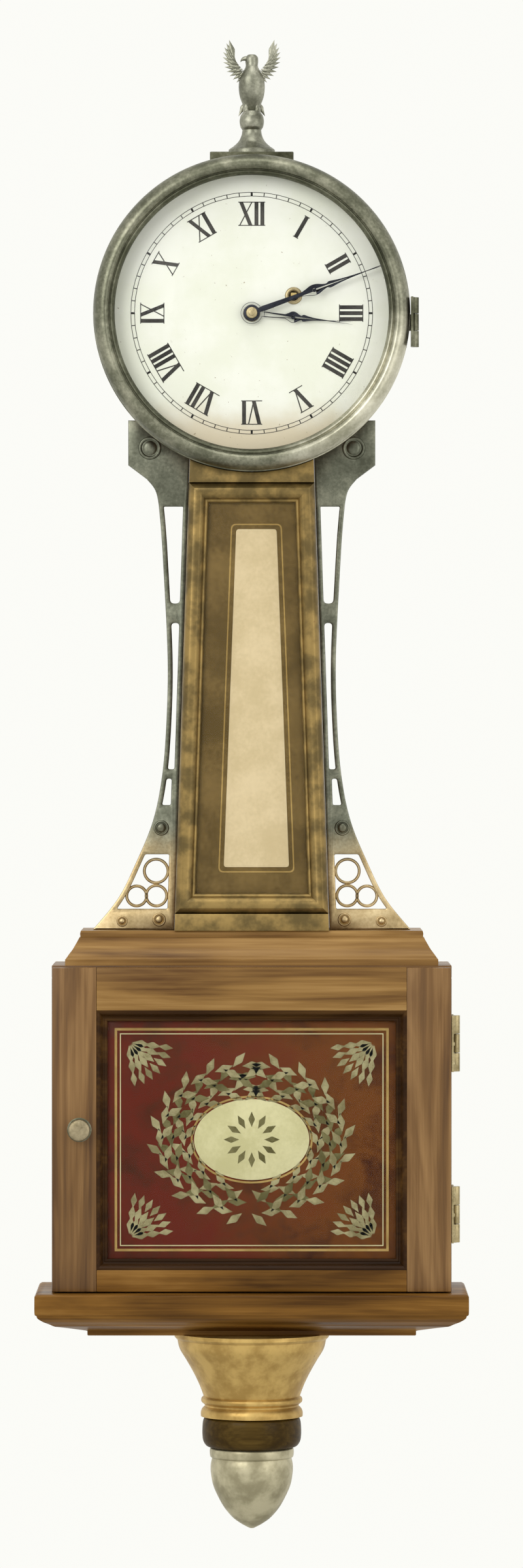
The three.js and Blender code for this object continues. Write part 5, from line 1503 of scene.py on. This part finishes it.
def makeLatch():
    doorFront = depths("door_frame")[1]
    x, z, half = latch["x"], latch["z"], latch["tongueHalf"]
    knob = turned("latch_knob", profileOf(latch["knob"], doorFront), "knobBrass", (x, 0, z), segments=48)
    keep(knob, "latch", "dark_brass", "door_latch")
    back, foot = depths("door_latch")[0], span("door_latch")[0].z
    block = [((x - half, back, foot), (x + half, back + latch["tongueThickness"], z + half))]
    tongue = easedBlocks("latch_tongue", block, "darkBrass", latch["tongueEased"])
    keep(tongue, "latch", "dark_brass")
    profile = profileOf(latch["rose"], doorFront, steps=3)
    keep(turned("latch_rose", profile, "darkBrass", (x, 0, z), segments=48), "door", "dark_brass")


makeCap()
makeBoxWalls()
makeBase()
makeDoorFrame()
makeTablet()
makeLatch()
print("box and door made")


# Pendant under the box

pendant = {
    "depth": 46.0, "wallHalf": 60.0, "spare": 5.0,
    # Radius, and the drop below each piece's top
    "cup": [
        [(50, 0), (50, 2.4)],
        [(48.8, 3.8)],
        [(48.2, 4.2), (46.6, 10.5), (42.0, 18.2), (37.4, 26.4), (33.8, 34.0), (31.2, 41.0)],
        [(31.2, 41.0), (32.6, 42.4), (32.6, 44.6), (30.8, 46.2), (30.4, 47.4)],
        [(30.4, 47.4), (32.2, 49.2), (33.0, 51.4), (33.0, 54.0)],
    ],
    "collar": [[(28.4, 0.0), (30.6, 1.0), (31.6, 3.4), (32.0, 7.6), (32.0, 12.2), (31.4, 16.2), (29.4, 19.2),
                (27.0, 20.0)]],
    "acorn": [
        [(24.5, 0.0), (27.0, 1.2), (27.0, 5.8), (25.8, 7.0)],
        [(25.8, 7.6), (26.6, 11.6), (26.5, 17.0), (25.0, 25.0), (21.3, 33.4), (17.4, 40.0), (12.2, 46.0),
         (7.3, 49.6), (4.2, 51.4), (1.4, 52.8)],
    ],
}


def hanging(name, node, runs, look, segments=96):
    # An upright turning whose profile goes down from its node's top, closed on the axis
    profile = profileOf(runs, span(node)[1].z, -1)
    profile = [(0, profile[0][1]), *profile, (0, profile[-1][1])]
    return turned(name, profile, look, (0, pendant["depth"], 0), False, segments)


def makePendant():
    low, high = span("bracket_cup")
    half, spare = pendant["wallHalf"], pendant["spare"]
    wall = blockTool((-half, -half, low.z - spare), (half, 0, high.z + spare))
    cup = carved(hanging("gilt_cup", "bracket_cup", pendant["cup"], "cupGilt", 128), [wall])
    keep(cup, "case", "gilt", "bracket_cup")
    collar = hanging("ebonised_collar", "pendant_collar", pendant["collar"], "collarWood")
    keep(collar, "case", "dark_wood", "pendant_collar")
    acorn = hanging("bronzed_acorn", "pendant_acorn", pendant["acorn"], "acorn")
    keep(acorn, "case", "acorn_wood", "pendant_acorn")


makePendant()


# Finial: plinth, turned stem and a spread eagle

eagle = {
    "depth": 40.0, "creases": 40.0,
    # Radius and height
    "stem": [
        [(0, 105.0), (15.0, 105.0)],
        [(15.0, 107.2)],
        [(14.2, 108.0), (11.6, 109.8), (8.4, 113.0), (6.6, 117.0), (6.1, 120.2)],
        [(6.4, 120.6), (7.4, 122.4), (7.9, 126.0), (7.2, 129.4), (5.6, 131.8), (5.0, 132.6)],
        [(0, 132.6)],
    ],
    # Height, half width, half depth and how far back
    "body": [(133.2, 4.4, 4.0, 1.8), (137.0, 6.0, 5.4, 1.2), (142.0, 7.8, 7.0, 0.6), (148.0, 8.5, 7.6, 0.0),
             (153.5, 7.8, 7.2, -0.6), (158.0, 5.6, 5.8, -0.6), (161.4, 4.0, 4.5, 0.0), (164.6, 4.2, 4.5, 0.4),
             (167.4, 3.9, 4.1, 0.4), (169.0, 2.4, 2.6, 0.2)],
    "claw": [(136.5, 1.5, 1.5, 0.0), (134.5, 1.7, 1.8, 0.0), (132.6, 1.9, 2.3, -0.4),
             (131.6, 1.2, 1.6, -0.6)],
    "clawAside": 3.4, "clawForward": 1.2,
    # Place across, height and radius
    "beak": [(-3.0, 166.4, 1.7), (-4.6, 166.5, 1.5), (-6.2, 166.0, 1.1), (-7.2, 164.8, 0.7),
             (-7.3, 163.6, 0.25)],
}


def loft(form, levels, at, segments=28):
    # Upright, over level ovals: [height, half width, half depth, how far back]
    x, depth = at
    rings = []
    for z, halfX, halfDepth, back in levels:
        oval = ellipse(halfX, halfDepth, segments)
        rings.append([corner(form, x + across, depth - back + forward, z) for across, forward in oval])
    skin(form, rings, True)


def addBeak(form, segments=12):
    rings = [[corner(form, x, eagle["depth"] - back, z + up) for back, up in circle(radius, segments)]
             for x, z, radius in flow(eagle["beak"], 4)]
    skin(form, rings, True)


feathers = {
    "length": 10.0, "width": 2.6, "thicken": 5.0,
    # Feathers in a row, their size and how far forward it lies
    "rows": [(12, 1.0, 0.0), (9, 0.74, 0.7), (7, 0.5, 1.3)], "overlap": 0.12,
    # At the shoulder, and what is added by the wing's tip
    "across": (3.0, 8.0), "up": (156.5, 8.5), "angle": (-58.0, 133.0), "size": (0.84, 0.56),
    "tail": {"half": 3, "apart": 0.9, "fan": 9.0, "behind": 4.6, "step": 0.25, "z": 141.0, "size": 1.3},
}


def featherSpots(side):
    # Rows of feathers from the shoulder to the wing's tip
    spots = []
    for count, rowSize, lift in feathers["rows"]:
        for i in range(count):
            x, z, angle, size = (start + gain * i / (count - 1) for start, gain in
                                 (feathers["across"], feathers["up"], feathers["angle"], feathers["size"]))
            angle = math.radians(angle)
            depth = eagle["depth"] + lift + feathers["overlap"] * i
            turn = (quarterTurn, -angle if side > 0 else angle - math.pi, 0.0)
            spots.append(((side * x, -depth, z), turn, rowSize * size))
    return spots


def tailSpots():
    tail = feathers["tail"]
    spots = []
    for i in range(-tail["half"], tail["half"] + 1):
        depth = eagle["depth"] - tail["behind"] - tail["step"] * abs(i)
        turn = (quarterTurn, math.radians(90 - tail["fan"] * i), 0.0)
        spots.append(((tail["apart"] * i, -depth, tail["z"]), turn, tail["size"]))
    return spots


def makeEagle():
    depth, look, creases = eagle["depth"], "finialBrass", eagle["creases"]
    plinth = easedCopy("finial_block", "finial_plinth", "darkBrass", 0.8, 3)
    keep(plinth, "case", "dark_brass", "finial_plinth")
    form = bmesh.new()
    addTurning(form, profileOf(eagle["stem"]), (0, depth, 0), False, 48)
    loft(form, flow(eagle["body"], 4), (0, depth))
    keep(pieceFrom("eagle_body", form, look, creases), "case", "brass", "eagle_finial")
    form = bmesh.new()
    addBeak(form)
    for side in (-1, 1):
        loft(form, flow(eagle["claw"], 3), (side * eagle["clawAside"], depth + eagle["clawForward"]), 14)
    keep(pieceFrom("eagle_beak_and_claws", form, look, creases), "case", "brass")
    feather = leafTemplate("featherShape", feathers["length"], feathers["width"], look)
    feather.data.transform(Matrix.Diagonal((1, 1, feathers["thicken"], 1)))
    keep(copiesOf("eagle_wings", feather, featherSpots(1) + featherSpots(-1), look), "case", "brass")
    keep(copiesOf("eagle_tail", feather, tailSpots(), look), "case", "brass")
    bpy.data.objects.remove(feather)


makeEagle()
print("pendant and finial made")


# Hinges, hanger and movement

hingeLeaves = {
    "bezel_hinge_case_leaf": ("case", "darkBrass", "dark_brass"),
    "bezel_hinge_leaf": ("bezel", "darkBrass", "dark_brass"),
    "door_hinge_case_leaf_upper": ("case", "hingeBrass", "brass"),
    "door_hinge_leaf_upper": ("door", "hingeBrass", "brass"),
    "door_hinge_case_leaf_lower": ("case", "hingeBrass", "brass"),
    "door_hinge_leaf_lower": ("door", "hingeBrass", "brass"),
}
# Leaves, in from their left edge, depth, up from their middle, radius
hingeScrews = {
    "door_hinge_case_screws": (["door_hinge_case_leaf_upper", "door_hinge_case_leaf_lower"], 1.3, 66.5,
                               (-12.5, 0, 12.5), 1.7),
    "door_hinge_screws": (["door_hinge_leaf_upper", "door_hinge_leaf_lower"], 1.3, 88.3,
                          (-12.5, 0, 12.5), 1.5),
    "bezel_hinge_case_screws": (["bezel_hinge_case_leaf"], 1.5, 56.0, (-10, 10), 1.6),
    "bezel_hinge_screws": (["bezel_hinge_leaf"], 1.5, 78.0, (-10, 10), 1.5),
}
hanger = {"screwX": 13.5, "screwZ": (62.5, 85.5), "screwDepth": 1.0, "screwRadius": 2.0}


def makeHinges():
    for node, (body, look, slot) in hingeLeaves.items():
        keep(easedCopy(node + "_eased", node, look, 0.2), body, slot, node)
    keep(easedCopy("keyhole_plate", "hanger_plate", "iron", 0.25), "case", "iron", "hanger_plate")
    for name, (leaves, inset, depth, ups, radius) in hingeScrews.items():
        spots = []
        for leaf in leaves:
            low, high = span(leaf)
            spots += [(low.x + inset, depth, (low.z + high.z) / 2 + up) for up in ups]
        body, look = hingeLeaves[leaves[0]][:2]
        screws(name, spots, "right", body, "brass", radius, look)
    x, depth = hanger["screwX"], hanger["screwDepth"]
    spots = [(side, depth, z) for side in (-x, x) for z in hanger["screwZ"]]
    screws("hanger_screws", spots, "back", "case", "iron", hanger["screwRadius"], "steel")


makeHinges()
nodeLooks = {
    "clockBrass": ["back_plate", "front_plate", "great_wheel", "winding_drum", "centre_wheel", "third_wheel",
                   "escape_wheel", "cannon_pinion", "minute_wheel", "hour_wheel", "suspension_cock"],
    "steel": ["click", "pallet_anchor", "suspension_spring", "bezel_hinge_pin", "door_hinge_pin_upper",
              "door_hinge_pin_lower"],
    "tin": ["weight_baffle"],
}
for look, nodeNames in nodeLooks.items():
    for nodeName in nodeNames:
        dress(nodeName, look)
print("hinges made and movement dressed")


# Pendulum, weight and line

pendulum = {
    "depth": 55.0, "rod": 1.3, "rodEased": (0.3, 0.4), "rodTop": 39.5, "rodGap": 11.0,
    "ring": (9.0, 12.0), "ringHalf": 1.0, "ringEased": (0.4, 0.3),
    "headHalf": 2.5, "head": (38.5, 46.0), "headEased": 0.4,
    "bobZ": -532.7, "bore": 1.6, "boreReach": 60.0,
    # Radius, and half the thickness there
    "bobFace": [(0, 7.0), (10, 6.9), (22, 6.0), (32, 4.3), (38.5, 2.9), (41.0, 2.5)],
    "bobRim": [(41.0, 2.5), (42.4, 2.6), (43.7, 1.6), (44, 0.0)],
}


def makeRod():
    # The rod stops above and below the ring that goes round the hour pipe
    depth, rod, gap, rodTop = pendulum["depth"], pendulum["rod"], pendulum["rodGap"], pendulum["rodTop"]
    foot = span("pendulum_rod")[0].z
    across, up = pendulum["rodEased"]
    form = bmesh.new()
    lower = [(0, foot), (rod - across, foot), (rod, foot + up), (rod, -gap), (0, -gap)]
    for profile in (lower, [(0, gap), (rod, gap), (rod, rodTop), (0, rodTop)]):
        addTurning(form, profile, (0, depth, 0), False, 24)
    half = pendulum["ringHalf"]
    section = ringSection(*pendulum["ring"], depth - half, depth + half, *pendulum["ringEased"])
    addTurning(form, section, (0, 0, 0), True, 64)
    keep(pieceFrom("pendulum_rod_and_ring", form, "steel"), "pendulum", "steel", "pendulum_rod")
    half, (low, high) = pendulum["headHalf"], pendulum["head"]
    block = [((-half, depth - half, low), (half, depth + half, high))]
    head = easedBlocks("pendulum_head", block, "clockBrass", pendulum["headEased"])
    keep(head, "pendulum", "movement_brass")


def makeBob():
    depth, bobZ, bore, reach = (pendulum[key] for key in ("depth", "bobZ", "bore", "boreReach"))
    side = flow(pendulum["bobFace"]) + flow(pendulum["bobRim"], 4)[1:]
    bob = turned("brass_bob", mirrored(side[::-1], depth), "hingeBrass", (0, 0, bobZ))
    hole = [(0, -reach), (bore, -reach), (bore, reach), (0, reach)]
    drill = turned("bobBore", hole, "steel", (0, depth, bobZ), False, 24)
    keep(carved(bob, [drill]), "bob", "brass", "pendulum_bob")


ratingNut = {"bore": 1.6, "radius": 5.6, "eased": 0.4, "ridges": 36, "ridgeRadius": 5.55, "ridgeLength": 0.8,
             "ridgeWidth": 0.42, "ridgeInset": 0.5}


def makeRatingNut():
    low, high = span("rating_nut")
    foot, top, depth = low.z, high.z, pendulum["depth"]
    bore, radius, eased = ratingNut["bore"], ratingNut["radius"], ratingNut["eased"]
    profile = [(bore, foot), (radius - eased, foot), (radius, foot + eased), (radius, top - eased),
               (radius - eased, top), (bore, top), (bore, foot)]
    nut = turned("rating_nut_body", profile, "hingeBrass", (0, depth, 0), False, 48)
    keep(nut, "nut", "brass", "rating_nut")
    ridges = grown(
        "rating_nut_knurl", marks, bare, radius=ratingNut["ridgeRadius"] * mm,
        count=ratingNut["ridges"], length=ratingNut["ridgeLength"] * mm, width=ratingNut["ridgeWidth"] * mm,
        thickness=(top - foot - 2 * ratingNut["ridgeInset"]) * mm, stand=(0, 0, 0),
        place=(0, -depth * mm, (top + foot) / 2 * mm), finish=looks["hingeBrass"])
    keep(ridges, "nut", "brass")


pulley = {
    "z": -471.996, "depth": 28.97, "segments": 72,
    # Out from the groove's bottom, and half the thickness there
    "groove": [(0.0, 0.0), (0.2, 0.55), (1.4, 1.2), (2.4, 1.5), (2.8, 2.1), (2.8, 2.6), (2.4, 3.0)],
    "flange": [(1.2, 3.0), (0.4, 1.6)],
    # Radius, and half the thickness there
    "hub": [(5.4, 1.6), (4.8, 3.0), (1.8, 3.0)],
}
gut = {"x": 19.704, "radius": 0.5, "gap": 0.3, "drumRadius": 7.3, "postZ": -26.0, "step": 9}


def makeWeight():
    keep(easedCopy("iron_weight", "weight", "iron", 2.2, 4), "weight", "iron", "weight")
    stirrup = easedCopy("pulley_stirrup_eased", "pulley_stirrup", "clockBrass", 0.35)
    keep(stirrup, "weight", "movement_brass", "pulley_stirrup")
    bottom = gut["x"] - gut["radius"] - gut["gap"]
    groove = flow(pulley["groove"], 4) + pulley["flange"]
    side = [(bottom + out, half) for out, half in groove] + pulley["hub"]
    profile = mirrored(side, pulley["depth"])
    wheel = turned("line_pulley", profile + profile[:1], "clockBrass", (0, 0, pulley["z"]),
                   segments=pulley["segments"])
    keep(wheel, "pulley", "movement_brass", "pulley")


def tube(name, points, sides=12):
    # A round line of gut through points of x and z at the pulley's depth
    form = bmesh.new()
    rings = []
    for i, (x, z) in enumerate(points):
        before, after = Vector(points[max(i - 1, 0)]), Vector(points[min(i + 1, len(points) - 1)])
        way = (after - before).normalized()
        ring = []
        for k in range(sides):
            angle = fullTurn * k / sides
            out, back = gut["radius"] * math.cos(angle), gut["radius"] * math.sin(angle)
            ring.append(corner(form, x + way.y * out, pulley["depth"] - back, z - way.x * out))
        rings.append(ring)
    skin(form, rings, True)
    return pieceFrom(name, form, "gut", 50.0)


def arcOf(radius, x, z, start, end):
    angles = [math.radians(a) for a in range(start, end, gut["step"] if end > start else -gut["step"])]
    return [(x + radius * math.cos(a), z + radius * math.sin(a)) for a in angles]


def makeLine():
    # The bend goes up with the pulley
    x, z = gut["x"], pulley["z"]
    drumX, drumZ = windingHole["x"], windingHole["z"]
    rise = [joint for joint in frame["joints"] if joint["name"] == "weight_rise"][0]["range_m"][1] / mm
    keep(tube("gut_on_drum", arcOf(gut["drumRadius"], drumX, drumZ, 90, 181)), "case", "gut", "gut_line")
    for name, side, top in (("gut_drum_run", x, drumZ), ("gut_post_run", -x, gut["postZ"])):
        run = keep(tube(name, [(side, top), (side, (top + z) / 2), (side, z)]), "case", "gut")
        side * mm
        top * mm
        (top - z - rise) / (top - z)
        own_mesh(run)
    keep(tube("gut_round_pulley", arcOf(x, 0.0, z, 0, -181)), "weight", "gut")


makeRod()
makeBob()
makeRatingNut()
makeWeight()
makeLine()
bpy.data.objects.remove(screw)
print("pendulum, weight and line made")
